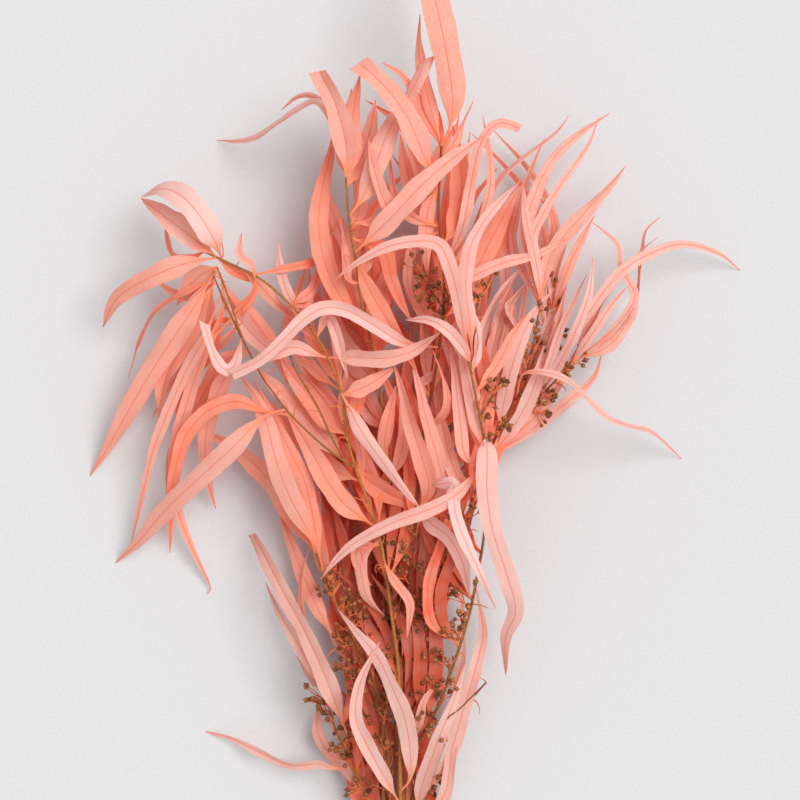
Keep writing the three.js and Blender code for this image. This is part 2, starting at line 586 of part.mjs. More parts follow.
function growLeaf(stem, paths, leaf) {
  const [u, v] = leaf.route[0];
  const near = nearestOn(paths, place(u, v, SEEK_HEIGHT)).point;
  const back = 1 - near.z / EYE_HEIGHT;
  const root = { u: near.x / back, v: EYE_Y + (near.y - EYE_Y) / back, z: near.z };
  let second = null;
  for (const [liftMiddle, liftTip] of fits) {
    if (leaf.tip === 0 && liftTip !== 0) continue;
    const middle = Math.max(leaf.middle + liftMiddle, LOWEST_MIDDLE);
    const tip = Math.max(leaf.tip + liftTip, BLADE_THICKNESS / 2);
    const rings = leafRings(root, leaf, middle, tip);
    const solid = solidOf(loft(rings));
    if (!isClear(solid, stem)) continue;
    const blade = solidOf(loft(rings.slice(2)));
    if (!crossesOwn(blade, stem)) {
      keep(solid, stem, blade);
      return true;
    }
    second = second ?? { solid, blade };
  }
  if (second) keep(second.solid, stem, second.blade);
  return second !== null;
}

// --- Buds ---------------------------------------------------------------------------------------------

function budSolid(root, at) {
  const along = at.clone().sub(root).normalize();
  const side = along.clone().cross(new THREE.Vector3(0, 0, 1)).normalize();
  const normal = side.clone().cross(along);
  const ring = (centre, radius) => Array.from({ length: BUD_SIDES }, (_, corner) => {
    const angle = (corner / BUD_SIDES) * 2 * Math.PI;
    return centre.clone()
      .addScaledVector(side, radius * Math.cos(angle))
      .addScaledVector(normal, radius * Math.sin(angle));
  });
  const beyond = (distance) => at.clone().addScaledVector(along, distance);
  return solidOf(loft([
    ring(root, STALK_RADIUS),
    ring(beyond(-BUD_LENGTH * 0.5), STALK_RADIUS),
    ring(at, BUD_RADIUS),
    ring(beyond(BUD_LENGTH * 0.5), BUD_POINT),
  ]));
}

function growBud(stem, paths, [u, v]) {
  const start = nearestOn(paths, place(u, v, SEEK_HEIGHT));
  const back = STALK_BACK / start.path[0].distanceTo(start.path[1]);
  const root = pointAlong(start.path, Math.max(start.at - back, 0.1));
  for (const lift of BUD_LIFTS) {
    const at = place(u, v, Math.max(start.point.z + BUD_RISE + lift, BUD_RADIUS + 1));
    if (at.distanceTo(root) < BUD_LENGTH * 0.7) continue;
    const solid = budSolid(root, at);
    if (isClear(solid, stem)) {
      keep(solid, stem, null);
      return true;
    }
  }
  return false;
}

// --- Stems --------------------------------------------------------------------------------------------

const sampled = (points, step) => {
  const curve = curveOf(points);
  return curve.getSpacedPoints(Math.max(Math.round(curve.getLength() / step), 2));
};

function stemPoints({ slot: [u, z], route }) {
  const cutEnd = place(u * CUT_SPLAY, CUT_Y, CUT_LOW + (z - BAND_INSIDE.low) * CUT_RISE);
  const atBand = place(u, BAND_Y, z);
  return sampled([cutEnd, atBand, ...rows(route).map(([x, y, height]) => place(x, y, height))], STEM_STEP);
}

function growStem(name, design) {
  const main = stemPoints(design);
  const paths = [main];
  keep(tube(main, (part) => mix(design.radius, STEM_TIP_RADIUS, part), STEM_SIDES), name, null);
  for (const route of design.twigs) {
    const points = rows(route).map(([x, y, height]) => place(x, y, height));
    points[0] = nearestOn(paths, points[0]).point.clone();
    const twig = sampled(points, TWIG_STEP);
    keep(tube(twig, (part) => mix(TWIG_RADIUS[0], TWIG_RADIUS[1], part), TWIG_SIDES), name, null);
    paths.push(twig);
  }
  return paths;
}

const pathsOf = {};
for (const [name, design] of Object.entries(STEMS)) pathsOf[name] = growStem(name, design);

// --- Filling leaves -------------------------------------------------------------------------------------

function fillingLeaf([stem, count, first, last, height], number) {
  const name = `${stem}_fill_${number}`;
  const random = stream(name);
  const main = pathsOf[stem][0];
  const part = mix(first, last, count > 1 ? number / (count - 1) : 0);
  const index = Math.min(Math.round(part * (main.length - 1)), main.length - 2);
  const along = main[index + 1].clone().sub(main[index]);
  const side = number % 2 ? 1 : -1;
  const heading = Math.atan2(along.x, along.y) + side * radians(mix(...FILLING_TURN, random()));
  const length = mix(...FILLING_LENGTH, random());
  const bend = side * radians(mix(...FILLING_BEND, random()));
  const route = [[main[index].x, main[index].y]];
  for (let step = 1; step <= FILLING_STEPS; step += 1) {
    const [x, y] = route[step - 1];
    const turned = heading + bend * (step - FILLING_STEPS / 2);
    const v = y + Math.cos(turned) * length / FILLING_STEPS;
    const u = x + Math.sin(turned) * length / FILLING_STEPS;
    route.push([Math.min(Math.max(u, between(OUTLINE_LEFT, v)), between(OUTLINE_RIGHT, v)), v]);
  }
  const middle = height * mix(...FILLING_MIDDLE, random());
  const tip = height * mix(...FILLING_TIP, random());
  const roll = radians(ROLL) * (random() * 2 - 1);
  const width = mix(...FILLING_WIDTH, random());
  const tipRoll = roll + radians(FILLING_TWIST) * random();
  return { name, width, middle, tip, route, blunt: false, roll, tipRoll };
}

// --- The rubber band ------------------------------------------------------------------------------------

function roundedOutline(shape, halfWidth, low, high, corner) {
  shape.moveTo(-halfWidth + corner, low);
  shape.lineTo(halfWidth - corner, low);
  shape.absarc(halfWidth - corner, low + corner, corner, -Math.PI / 2, 0);
  shape.lineTo(halfWidth, high - corner);
  shape.absarc(halfWidth - corner, high - corner, corner, 0, Math.PI / 2);
  shape.lineTo(-halfWidth + corner, high);
  shape.absarc(-halfWidth + corner, high - corner, corner, Math.PI / 2, Math.PI);
  shape.lineTo(-halfWidth, low + corner);
  shape.absarc(-halfWidth + corner, low + corner, corner, Math.PI, Math.PI * 1.5);
  return shape;
}

function rubberBand() {
  const { halfWidth, low, high, corner } = BAND_INSIDE;
  const t = BAND_THICKNESS;
  const outline = roundedOutline(new THREE.Shape(), halfWidth + t, low - t, high + t, corner + t);
  outline.holes.push(roundedOutline(new THREE.Path(), halfWidth, low, high, corner));
  const options = { depth: BAND_WIDTH, bevelEnabled: false, curveSegments: BAND_CURVE_STEPS };
  const geometry = new THREE.ExtrudeGeometry(outline, options);
  geometry.rotateX(Math.PI / 2);
  geometry.translate(0, BAND_Y + BAND_WIDTH / 2, 0);
  return geometry;
}

// --- Assembly -------------------------------------------------------------------------------------------

const bunch = new THREE.Group();

function addMesh(name, geometry, material) {
  const mesh = new THREE.Mesh(geometry, material);
  mesh.name = name;
  bunch.add(mesh);
}

function fused(stem) {
  const pieces = placed.filter((piece) => piece.stem === stem).map((piece) => piece.solid);
  const whole = wasm.Manifold.union(pieces).simplify(SMALLEST_FACET);
  const bodies = whole.decompose().sort((a, b) => b.volume() - a.volume());
  const { vertProperties, triVerts } = bodies[0].getMesh();
  const geometry = new THREE.BufferGeometry();
  geometry.setAttribute('position', new THREE.BufferAttribute(vertProperties, 3));
  geometry.setIndex(new THREE.BufferAttribute(triVerts, 1));
  return geometry;
}

for (const [stem, list] of Object.entries(LEAVES)) {
  list.forEach((row, number) => growLeaf(stem, pathsOf[stem], dressed(`${stem}${number + 1}`, row)));
}
for (const row of FILLING) {
  const [stem, count] = row;
  for (let number = 0; number < count; number += 1) growLeaf(stem, pathsOf[stem], fillingLeaf(row, number));
}
for (const [stem, list] of Object.entries(BUDS)) {
  for (const at of rows(list)) growBud(stem, pathsOf[stem], at);
}
for (const stem of Object.keys(STEMS)) addMesh(`leafy_stem_${stem}`, fused(stem), LEAF);
addMesh('rubber_band', rubberBand(), RUBBER);

const box = new THREE.Box3().setFromObject(bunch);
const middle = box.getCenter(new THREE.Vector3());
bunch.position.set(-middle.x, -middle.y, -box.min.z);

export default bunch;
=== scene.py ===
"""A bunch of preserved, dyed eucalyptus lying on a pale plastered surface, seen from straight above.

Every piece is worked out from the same layout as the solid model: places are in millimetres, as they
look from the camera's eye, and become metres in the model's frame when a mesh is made.
"""
import copy
import math

import bpy
import numpy as np
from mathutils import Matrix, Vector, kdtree


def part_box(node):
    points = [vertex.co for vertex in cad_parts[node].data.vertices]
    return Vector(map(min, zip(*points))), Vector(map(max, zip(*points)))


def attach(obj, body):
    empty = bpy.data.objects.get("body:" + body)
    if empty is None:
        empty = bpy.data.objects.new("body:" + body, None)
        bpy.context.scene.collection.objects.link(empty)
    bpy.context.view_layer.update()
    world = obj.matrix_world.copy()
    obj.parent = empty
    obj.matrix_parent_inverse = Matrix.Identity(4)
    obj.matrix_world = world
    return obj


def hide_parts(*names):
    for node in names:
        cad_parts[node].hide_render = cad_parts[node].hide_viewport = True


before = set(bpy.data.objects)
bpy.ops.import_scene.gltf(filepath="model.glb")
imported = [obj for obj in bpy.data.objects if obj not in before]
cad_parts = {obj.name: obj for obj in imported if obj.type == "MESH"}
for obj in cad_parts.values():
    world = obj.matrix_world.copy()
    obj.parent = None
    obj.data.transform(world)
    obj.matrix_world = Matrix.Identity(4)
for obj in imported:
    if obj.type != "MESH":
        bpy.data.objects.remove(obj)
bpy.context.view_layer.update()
MM = 0.001
UP = np.array([0.0, 0.0, 1.0])

# --- Dimensions shared with the solid model, in millimetres ---

EYE_HEIGHT = 1600.0  # the places below are read from here, above (0, EYE_Y)
EYE_Y = 280.0
BLADE_THICKNESS = 0.7
BLADE_STEP = 35  # length of a facet along a leaf
BLADE_MOST_STEPS = 6
BLADE_FEWEST_STEPS = 3
RING_CROWDING = 1.25  # above 1, a leaf's rings lie closer together near its base
PETIOLE_PART = 0.09  # the stalk's part of a leaf's length
TIP_WIDTH = 1.1
BROAD_BASE = 0.62  # below 1, a leaf is broadest nearer its base
FULL_SIDES = 0.72  # below 1, it keeps its breadth for longer
BLUNT_TIP = 0.72  # a torn end's part of the full width
BLUNT_FROM = 0.4
BEND_ROOM = 0.75  # a leaf's half width, as a part of the room inside its bend
NARROWEST_LEAF = 8.5  # a leaf that looks narrower is turned on its edge
STEEPEST_LEAN = 64  # degrees that such a leaf may be turned
ROLL = 22  # degrees that a leaf may lean to either side
TWIST = 38  # degrees that its tip may turn from its middle
LOWEST_MIDDLE = 4
LIFTS = [0, 3, -3, 6, -6, 9, -9, 13, -13, 17, -17, 22, -22]

STEM_STEP = 34
TWIG_STEP = 18
TWIG_RADIUS = (1.1, 0.7)
STEM_TIP_RADIUS = 0.95

BUD_LENGTH = 6
BUD_RADIUS = 2.1
BUD_POINT = 0.3
STALK_BACK = 9  # a bud's stalk leaves its twig this far below the bud
BUD_RISE = 4  # height of a bud above its twig
SEEK_HEIGHT = 40  # height from which the stem nearest to a leaf or bud is sought
BUD_LIFTS = [0, 3, -3, 6, -6, 10, -10]  # tried in turn, to get a bud clear of others

BAND_Y = -60
BAND_WIDTH = 7
BAND_THICKNESS = 1.6
BAND_HALF_WIDTH = 11.9  # of the stems inside it
BAND_LOW = 1.6
BAND_HIGH = 18.0
CUT_Y = -122
CUT_SPLAY = 1.7
CUT_LOW = 3.2
CUT_RISE = 0.9

# --- Layout ---
# Places are "u,v" across and along, or "u,v,z" with the height above the surface. A stem is its place
# in the rubber band (across, up), its radius, and its bark's tone: 0 is olive, 1 is red. Its routes are
# its own, base to tip, and those of its twigs. A leaf is "width,height at its middle,height at its tip",
# or that and its tone where its shade shows plainly in the photograph: 0 is deep coral, 1 is light, 2 is
# bleached nearly white. Its places follow, from stem to tip, and "blunt" where its end is torn.

STEMS = {
    "a": (0.5, 14.8, 2.3, 0.3),
    "b": (-5.4, 14.8, 1.9, 0.45),
    "c": (-8.4, 9.8, 1.8, 0.35),
    "d": (-2.7, 9.8, 2.3, 0.5),
    "e": (3, 9.8, 2.6, 1),
    "f": (6.2, 14.8, 2.2, 0.55),
    "g": (8.7, 9.8, 2.2, 0.7),
    "h": (0, 4.8, 2, 1),
    "i": (-5.6, 4.8, 1.8, 0.9),
    "j": (5.6, 4.8, 1.9, 0.6),
}
ROUTES = {
    "a": [
        "0,20,38 -1,88,48 -6,130,54 -13,178,62 -23,210,66 -31,232,68 -37,254,71 -40,281,74 -50,309,78 "
        "-63,331,78 -80,350,74 -98,365,70 -118,375,66 -137,384,60",
        "-31,232,68 -50,245,72 -75,268,72 -90,287,71 -97,297,70 -110,323,68 -120,352,66 -128,373,62",
        "-106,312,69 -113,328,64 -122,347,62 -131,368,61",
        "-38,238,68 -48,254,70 -58,276,72 -72,299,72 -77,311,72",
    ],
    "b": [
        "-7,10,25 -9,40,29 -13,65,33 -19,84,37 -26,100,40 -33,113,42 -46,140,45 -52,152,45 -59,173,46",
        "-33,113,42 -38,108,44 -46,112,45",
        "-19,84,37 -30,88,40 -42,95,42",
    ],
    "c": [
        "-14,-18,22 -22,0,25 -30,15,28 -36,28,30 -41,40,32 -46,52,33 -50,66,33 -54,77,34",
        "-41,40,32 -36,46,34 -33,52,34",
    ],
    "d": [
        "-10,-20,14 -12,20,18 -12,60,22 -12,100,26 -10,150,34 -8,200,42 -8,240,52 -12,275,60 -17,305,70 "
        "-21,324,78 -26,342,82 -31,378,84 -35,400,84 -38,436,85",
    ],
    "e": [
        "-2,10,26 -3,45,30 -1,80,34 2,108,38 6,140,44 8,170,48 11,195,50 13,225,54 17,260,60 24,295,66 "
        "29,330,72 31,355,76 30,380,80 28,400,83 27,418,83 29,458,84",
        "29,345,74 22,356,78 14,368,80",
        "30,335,72 34,350,80 30,362,84",
    ],
    "f": [
        "5,10,27 10,33,30 18,50,34 27,66,40 34,85,44 40,102,48 49,132,55 54,157,60 59,188,68 60,230,78 "
        "59,252,84 53,283,92 48,307,96",
        "54,157,60 49,172,68 48,187,72 53,209,76",
        "57,268,88 63,280,88 70,292,86",
        "59,252,84 68,258,84 76,265,82",
        "43,112,50 38,118,53 32,120,54",
        "36,88,45 33,98,48 28,102,50",
        "27,66,40 25,80,44 23,85,46",
        "50,297,94 52,330,88 55,350,82 62,362,78 65,373,76",
    ],
    "g": [
        "8,-20,13 10,10,16 12,60,22 28,130,30 45,190,38 58,230,44 72,262,48 86,290,50 98,318,50 "
        "106,342,48 112,362,46",
        "72,262,48 95,280,46 115,300,44 128,312,42",
        "86,290,50 90,305,58 95,328,64 98,346,68",
    ],
    "h": [
        "-1,0,13 0,40,20 2,80,25 6,104,31 12,121,38 20,130,42 27,142,46 31,160,50 34,200,56",
        "12,121,38 14,140,46 20,160,52",
        "27,142,46 34,143,50 40,146,52",
    ],
    "i": [
        "-10,-20,7 -14,20,11 -18,62,14 -22,130,17 -18,175,20",
        "-20,96,15 -16,112,30 -12,140,42 -8,170,50",
    ],
    "j": [
        "10,-20,8 16,5,12 24,30,16 31,50,19 36,72,21",
        "31,50,19 44,64,22 60,82,24",
    ],
}
LEAVES = {
    "a": [
        "18,45,0,0.7 -129,373 -140,352 -156,327 -174,300 -191,271 -205,246 -217,227",
        "18,50,30,0.3 -130,361 -141,342 -154,317 -165,294 -169,268",
        "16,66,25,0.8 -127,376 -145,377 -163,371 -182,362 -199,350 -208,331",
        "4,40,12 -131,362 -150,356 -170,343 -182,322 -190,296",
        "9,40,20 -130,360 -145,354 -158,355 -173,366",
        "6,45,35 -137,384 -150,378 -160,383 -165,403",
        "20,85,45,1.75 -122,378 -131,394 -141,410 -153,423 -167,428 -181,422",
        "17,70,40,1.3 -126,379 -138,388 -152,399 -166,410 -181,421",
        "5,72,70 -98,366 -104,375 -112,382 -111,397",
        "7,62,58 -126,377 -112,368 -92,361",
        "9,58,45 -108,370 -98,360 -86,347 -70,335",
        "8,60,55,1.3 -66,334 -76,349 -83,368 -86,393",
        "15,52,40 -126,366 -119,349 -109,332 -95,318 -76,306",
        "9,84,80,1.2 -56,323 -51,338 -44,325 -37,296",
        "11,82,80,1.45 -41,285 -36,275 -27,258 -13,238 3,217 15,203",
        "17,60,0,0.9 -80,272 -96,268 -118,246 -142,224 -165,202 -183,181 -199,166",
        "12,50,8 -76,268 -97,273 -115,279 -135,272 -150,255 -157,232 -160,208 -161,173",
        "10,35,5 -122,347 -140,305 -150,275 -158,240 -156,205 -145,175 -133,150 -135,144",
        "9,45,10 -125,352 -137,324 -150,300 -162,273 -172,247 -180,215 -188,180",
        "9,38,10 -115,337 -137,315 -146,285 -152,262 -161,238 -163,203",
        "5,45,40 -113,330 -131,313 -140,303",
        "13,40,8 -106,313 -121,298 -131,276 -136,255 -136,235 -133,218 -129,204",
        "15,55,50 -38,256 -50,262 -62,280 -75,297 -85,312",
        "14,50,45 -36,250 -43,268 -57,290 -72,312 -82,325",
        "13,88,80,0.9 -50,309 -35,310 -12,309 8,314 28,327",
        "11,82,80,1.3 -50,309 -62,313 -75,317 -92,310 -106,302 -117,296",
        "14,62,55,1.4 1,5 7,15 7,35 3,58 -7,82 -17,102 -30,117 -44,134",
        "12,66,60,1.4 0,-5 -12,18 -24,40 -31,58 -28,82 -14,111",
        "9,58,50 -15,180 -30,176 -27,160 -20,150",
        "10,52,46 -15,183 -27,170 -26,152 -22,140 -11,129",
        "7,66,58 -11,168 -3,152 7,137 5,114",
        "13,78,74 -40,283 -30,287 -18,293 -3,303",
        "17,62,55 -21,191 -38,206 -50,222 -60,240 -70,257 -80,272",
        "15,50,46 -31,232 -20,222 -6,213 8,208 20,203",
        "9,80,76,1.7 -110,322 -116,304 -124,302 -132,316 -137,334 blunt",
        "14,46,40 -120,352 -110,344 -98,330 -87,312 -79,292",
        "18,50,46 -38,235 -50,250 -66,268 -84,286 -102,303",
        "16,42,38 -33,222 -48,232 -62,246 -78,262 -92,280",
        "14,40,22 -112,312 -124,306 -133,292 -142,276 -148,262",
        "16,50,32 -128,372 -138,368 -146,362 -152,354 -156,346",
    ],
    "d": [
        "18,92,95,0.9 -38,436 -38,458 -45,486 -57,510 blunt",
        "12,80,92 -38,436 -32,450 -33,478 -28,508",
        "17,88,85,1 -31,405 -25,424 -17,445 -8,468 3,487 12,503 18,518 blunt",
        "11,90,88 -31,400 -8,407 -13,425 -19,445 -22,463",
        "5,80,75 -30,359 -36,364 -38,378 -40,392 -42,408",
        "14,84,70 -31,378 -22,358 -10,337 2,318 12,300",
        "16,60,50,0.3 -22,325 -33,340 -46,360 -54,382 -57,405 -54,430 -48,455 -46,475",
        "14,50,45 -24,333 -34,345 -43,365 -47,385 -44,406",
        "6,70,0,1.5 -38,436 -45,470 -57,488 -70,484 -85,474 -100,464 -114,461 -128,462",
        "4,72,60,1.3 -38,436 -48,480 -60,492 -72,492 -83,483",
        "17,100,95,0.9 -31,380 -20,394 -5,409 13,428 34,447 59,465",
        "12,72,66 -33,390 -12,385 -6,365 1,348 8,335",
        "17,52,48 -21,324 -15,345 -9,362 -3,379 3,397",
        "11,66,64 -8,240 -11,250 -8,268 -3,290",
        "10,60,58 -7,225 0,240 3,262 0,285",
        "16,60,58 -36,425 -28,447 -21,468 -17,490",
        "14,56,54 -38,430 -38,452 -36,474 -34,498",
        "18,46,44 -14,290 -28,304 -39,318 -45,332 -46,350",
        "17,38,36 -10,258 -19,270 -24,284 -22,299 -16,312",
        "15,34,32 -10,170 -4,195 0,220 -2,250 -8,280",
        "15,50,48 -17,305 -14,330 -12,352 -14,374 -18,394",
    ],
    "e": [
        "22,95,60,0.8 29,456 35,472 37,490 34,515 28,545 19,580 6,618",
        "18,105,100,0.8 27,433 19,446 13,461 5,478 -6,494 -17,506 -29,516 blunt",
        "10,80,75 29,455 24,475 19,494 15,511 13,530 14,550",
        "9,78,76 29,452 18,478 9,497 0,509 -12,516",
        "8,75,72 29,450 27,470 22,487 16,498",
        "4,80,70 29,445 38,460 44,474 51,489",
        "18,62,60,0.2 30,385 40,405 43,430 41,452 37,472",
        "9,65,62 29,415 18,430 9,452 4,473",
        "7,78,74 28,398 8,408 -3,422 -6,440 -8,457",
        "12,78,72 27,424 20,415 18,395 19,368",
        "8,60,55 27,430 15,455 0,474 -12,483 -24,490",
        "8,66,60 28,395 10,388 5,365 10,345",
        "9,75,80,1.1 31,368 44,402 50,434 55,456 62,469 71,474 84,470 blunt",
        "7,70,65 31,365 52,395 62,423 63,446 58,479",
        "6,60,45,1.2 32,350 50,390 61,420 71,436 84,448 99,459 111,469 118,479",
        "12,75,60,1.5 12,205 22,193 33,185 43,168 49,142",
        "9,80,60,0.9 32,352 50,366 72,376 96,382 117,393",
        "18,58,52 32,345 50,366 61,387 72,408 84,430",
        "14,78,76,0.5 12,200 20,218 15,240 8,262 2,285 -4,305",
        "12,74,70,0.7 13,205 30,215 26,240 19,265 13,290 8,310",
        "5,82,84 17,258 32,272 32,290 23,315",
        "8,58,56 20,283 14,290 30,303",
        "11,96,84,1.6 29,316 14,318 0,321 -18,332 -38,343 -55,344 -68,336 -82,322 -98,308 -118,298 blunt",
        "10,100,75,1.9 13,222 27,221 37,221 38,205 43,187 53,165 67,134",
        "14,62,60 28,398 16,412 8,430 3,448 0,466",
        "18,44,42 17,260 23,280 27,299 25,319 20,340",
        "13,50,50 29,330 18,340 10,355 4,372 2,392",
        "16,50,48 30,335 50,355 62,375 72,395 80,415",
    ],
    "f": [
        "11,115,95,1.35 48,307 45,326 41,350 35,373 27,389 8,391 -12,386 -30,376 -46,364",
        "11,108,85,1.3 48,307 49,333 46,360 49,386 58,404 71,420 84,433",
        "9,108,95,1.5 49,303 43,318 33,329 20,336 4,336",
        "4,98,95,1.5 50,298 55,318 54,332 50,345",
        "14,100,40,1.6 59,254 61,238 61,215 65,188 74,160 81,133 74,114 74,88",
        "11,92,70,1.3 60,240 52,228 40,214 22,204 -5,194 -30,181 -45,168 -56,154",
        "12,84,75 59,244 54,262 50,285 45,305 40,325",
        "10,78,72 57,235 46,240 42,265 39,292 35,318",
        "11,74,66,0.8 60,222 42,224 34,243 29,265 24,288",
        "9,92,88 53,285 63,298 69,306 78,324 89,340",
        "6,66,60,1.4 50,298 57,325 65,345 75,361 88,375",
        "8,60,58 57,262 60,285 60,310 66,335",
        "12,56,54 57,270 62,295 66,320 72,345 80,365",
    ],
    "g": [
        "8,50,40,1.1 86,352 80,385 82,412 90,437 101,463",
        "12,62,35,1 92,352 88,395 95,425 108,450 125,466 147,481",
        "8,55,38 98,348 93,390 100,410 112,430 124,447 133,461 139,478",
        "10,75,70 98,349 97,365 93,387 88,408 86,432",
        "14,60,30,0.9 98,352 103,375 112,391 123,404 136,418 148,431 158,444",
        "10,58,50 108,342 113,360 120,378 128,394 136,409",
        "8,48,45 104,345 107,360 111,376 117,390",
        "8,50,45,1.2 128,312 150,330 164,350 160,363 154,375 153,388 144,397 134,405",
        "10,60,0,1.35 105,300 118,320 135,345 152,367 172,381 197,389 222,383 238,371",
        "3,45,20,1.4 128,312 152,330 165,350 169,378 172,398 182,408",
        "4,50,35 118,303 140,345 158,371 170,385 180,394",
        "12,45,40,1 126,308 145,317 157,331 164,346 163,362",
        "9,55,50 118,303 137,330 147,345 158,358",
        "10,75,70 98,285 115,312 125,333 133,357 135,380",
        "8,65,60 92,280 104,303 112,328 121,348 131,368",
        "7,60,58 90,300 101,305 108,322 112,340 116,358",
        "15,70,65 66,255 75,290 82,315 92,338 108,358",
        "3,62,60 70,320 75,343 79,351 87,360 95,363",
        "12,35,25,1 62,238 83,254 102,267 121,282 136,296 141,312",
        "14,55,50 62,240 80,262 92,285 100,310 106,332",
        "12,45,42 64,242 88,262 103,280 116,300 128,322",
        "5,70,0,1.5 78,283 86,298 104,299 120,292 133,279 145,268 160,262 177,257 197,239",
        "13,48,46 86,290 80,322 75,352 74,380 79,408",
        "9,60,58 72,262 72,290 72,318 78,345",
    ],
    "b": [
        "17,70,50,0.75 -59,173 -66,191 -77,212 -87,238 -93,262 -101,282 -112,297",
        "12,58,45,0.3 -56,160 -65,217 -73,236 -81,252 -90,270 -102,293",
        "16,30,18,0.6 -58,169 -73,196 -90,222 -108,240 -125,252 -143,260",
        "6,35,30 -19,84 -33,90 -43,108 -51,128",
        "12,28,26 -50,150 -56,175 -58,195 -57,218",
        "12,30,22 -46,115 -58,135 -68,158 -77,182 -86,206",
    ],
    "c": [
        "15,60,25,1.2 -38,45 -46,70 -55,92 -67,118 -80,142 -91,163 -103,186 blunt",
        "9,45,20,1.5 -53,75 -62,92 -73,112 -84,130 -94,152",
        "6,40,30 -48,60 -60,100 -69,135 -69,158 -63,178",
        "6,28,20 -53,76 -65,90 -73,101",
        "11,22,18 -22,0 -30,11 -36,19 -49,32 -57,45 -58,58 -55,72",
        "7,20,0,1.4 -33,21 -45,22 -58,25 -77,24 -98,33 -118,43 -136,48",
    ],
    "h": [
        "18,40,45,0.4 1,75 7,92 15,112 26,133",
        # This leaf's tone below 0 is painted shade, low in the bunch.
        "11,36,38,-0.9 0,45 14,62 20,82 24,102",
        "8,44,42 2,35 12,52 17,70 27,82",
        "14,40,38 12,121 17,150 19,175 17,200 12,225",
    ],
    "i": [
        "9,24,22 -12,62 -28,105 -37,140 -42,170 -47,202",
        "8,20,16 -12,62 -30,120 -36,160 -42,195",
        "14,22,20 -18,150 -22,185 -24,215 -22,245 -18,275",
    ],
    "j": [
        "12,35,30,1.4 10,-5 22,10 34,30 44,62 53,93 58,118 53,150",
        "12,45,40,1.4 7,-15 14,5 26,40 38,70 46,97",
        "10,28,26,1.3 12,-10 24,-5 32,6 36,34 40,62",
        "3,26,24 36,72 44,100 44,125 43,148",
    ],
}
# Small leaves between those of the solid model.
MORE_LEAVES = {
    "a": [
        "9,50,30 -131,366 -148,342 -162,314 -172,290",
        "8,42,18 -122,347 -132,313 -150,291 -158,256",
        "8,36,12 -128,368 -136,323 -160,291 -173,268",
        "7,58,50 -98,365 -104,352 -118,338 -134,334",
    ],
    "g": [
        "5,52,44 72,318 76,338 82,353 91,361 97,352",
        "6,50,42 102,316 104,334 112,350 118,366",
        "7,46,40 118,303 128,316 134,334 136,352",
    ],
}
BUDS = {
    "a": "",
    "b": "-58,149 -49,160 -35,142 -25,135 -46,115 -34,110 -45,95",
    "c": "-66,79 -60,71 -50,61 -33,50 -48,39 -36,34 -37,7",
    "d": "-20,112 -8,127 -15,150 -23,70",
    "e": "8,382 16,368 27,362 20,350 32,350 3,178 0,160",
    "f": "65,372 52,354 64,296 75,293 65,280 77,262 48,196 53,153 42,130 31,120 27,105 25,98 37,84 22,86 "
         "33,50",
    "g": "106,369 115,359 95,328 88,296 116,329 117,299 98,280 105,270 130,308",
    "h": "20,163 26,175 15,145 30,160 38,146 22,114 13,103",
    "i": "-10,105 -10,120 -18,172 -2,180",
    "j": "29,18 30,13 22,5",
}
# More places for buds, on the stems and twigs between those of the solid model.
MORE_BUDS = {
    "a": "",
    "b": "-43,156 -48,150 -36,147 -39,141 -32,137 -44,123 -37,113 -41,104 -37,85 -28,128",
    "c": "-66,70 -54,61 -42,51 -45,35 -39,30 -57,66 -30,43 -31,14 -24,4",
    "d": "-8,101 -8,107 -12,121 -19,114 -8,147 -8,139 -22,12 -14,36 -10,62 -13,74 -6,76 -11,94 -6,90 "
         "-2,96 0,118 -14,28 -9,40 -13,56 -4,138",
    "e": "12,366 25,372 14,352 22,362 10,358 28,342 -5,180 4,171 -2,150 8,190 3,60 -2,36",
    "f": "58,362 72,294 61,289 62,268 63,256 71,260 73,267 52,205 48,135 44,120 35,115 33,98 26,73 "
         "37,122 41,132 37,146 30,84 35,76 45,126 23,60",
    "g": "98,348 88,314 101,320 113,316 101,290 87,283 109,283 104,269 120,305 126,318 112,350 92,336",
    "h": "22,145 20,135 30,142 7,143 13,138 17,134 13,128 15,166 25,162 23,150 10,102 8,97 17,102 27,99 "
         "5,118 11,76 16,82 13,60 8,44 15,66 22,104 18,120",
    "i": "-7,100 -16,118 -18,90 -12,132 -16,150 -4,160 -20,40 -16,66 -20,75 -23,88 -27,98 -22,58 -17,50 "
         "-13,44 -25,76 -29,86 -33,60 -34,74 -36,98 -37,118 -30,128 -28,144",
    "j": "24,9 20,45 22,52 34,40 18,-4",
}
# The thin brown twigs that carry the lowest buds, in front of the inner leaves.
BARE_TWIGS = {
    "i": [
        "-18,50,14 -26,62,30 -33,87,36 -34,109,38 -38,140,40 -41,168,42",
        "-15,30,12 -14,50,30 -17,74,38 -24,100,42 -25,130,43 -22,160,44",
        "-16,20,12 -21,34,30 -27,50,36 -30,72,38 -31,92,40",
    ],
    "d": [
        "-12,10,16 -11,30,36 -12,52,40 -8,80,40 -9,110,40 -13,140,42",
        "-12,60,22 -8,84,38 -2,104,42 -2,126,44 2,150,46",
    ],
    "h": [
        "1,50,21 9,66,34 15,89,40 21,112,42 28,140,44",
        "0,40,20 3,74,38 12,92,42 18,104,42",
        "0,20,16 6,36,34 12,50,38 14,70,40",
    ],
    "j": [
        "16,5,12 24,30,34 32,55,46 42,64,47 59,81,44",
    ],
}
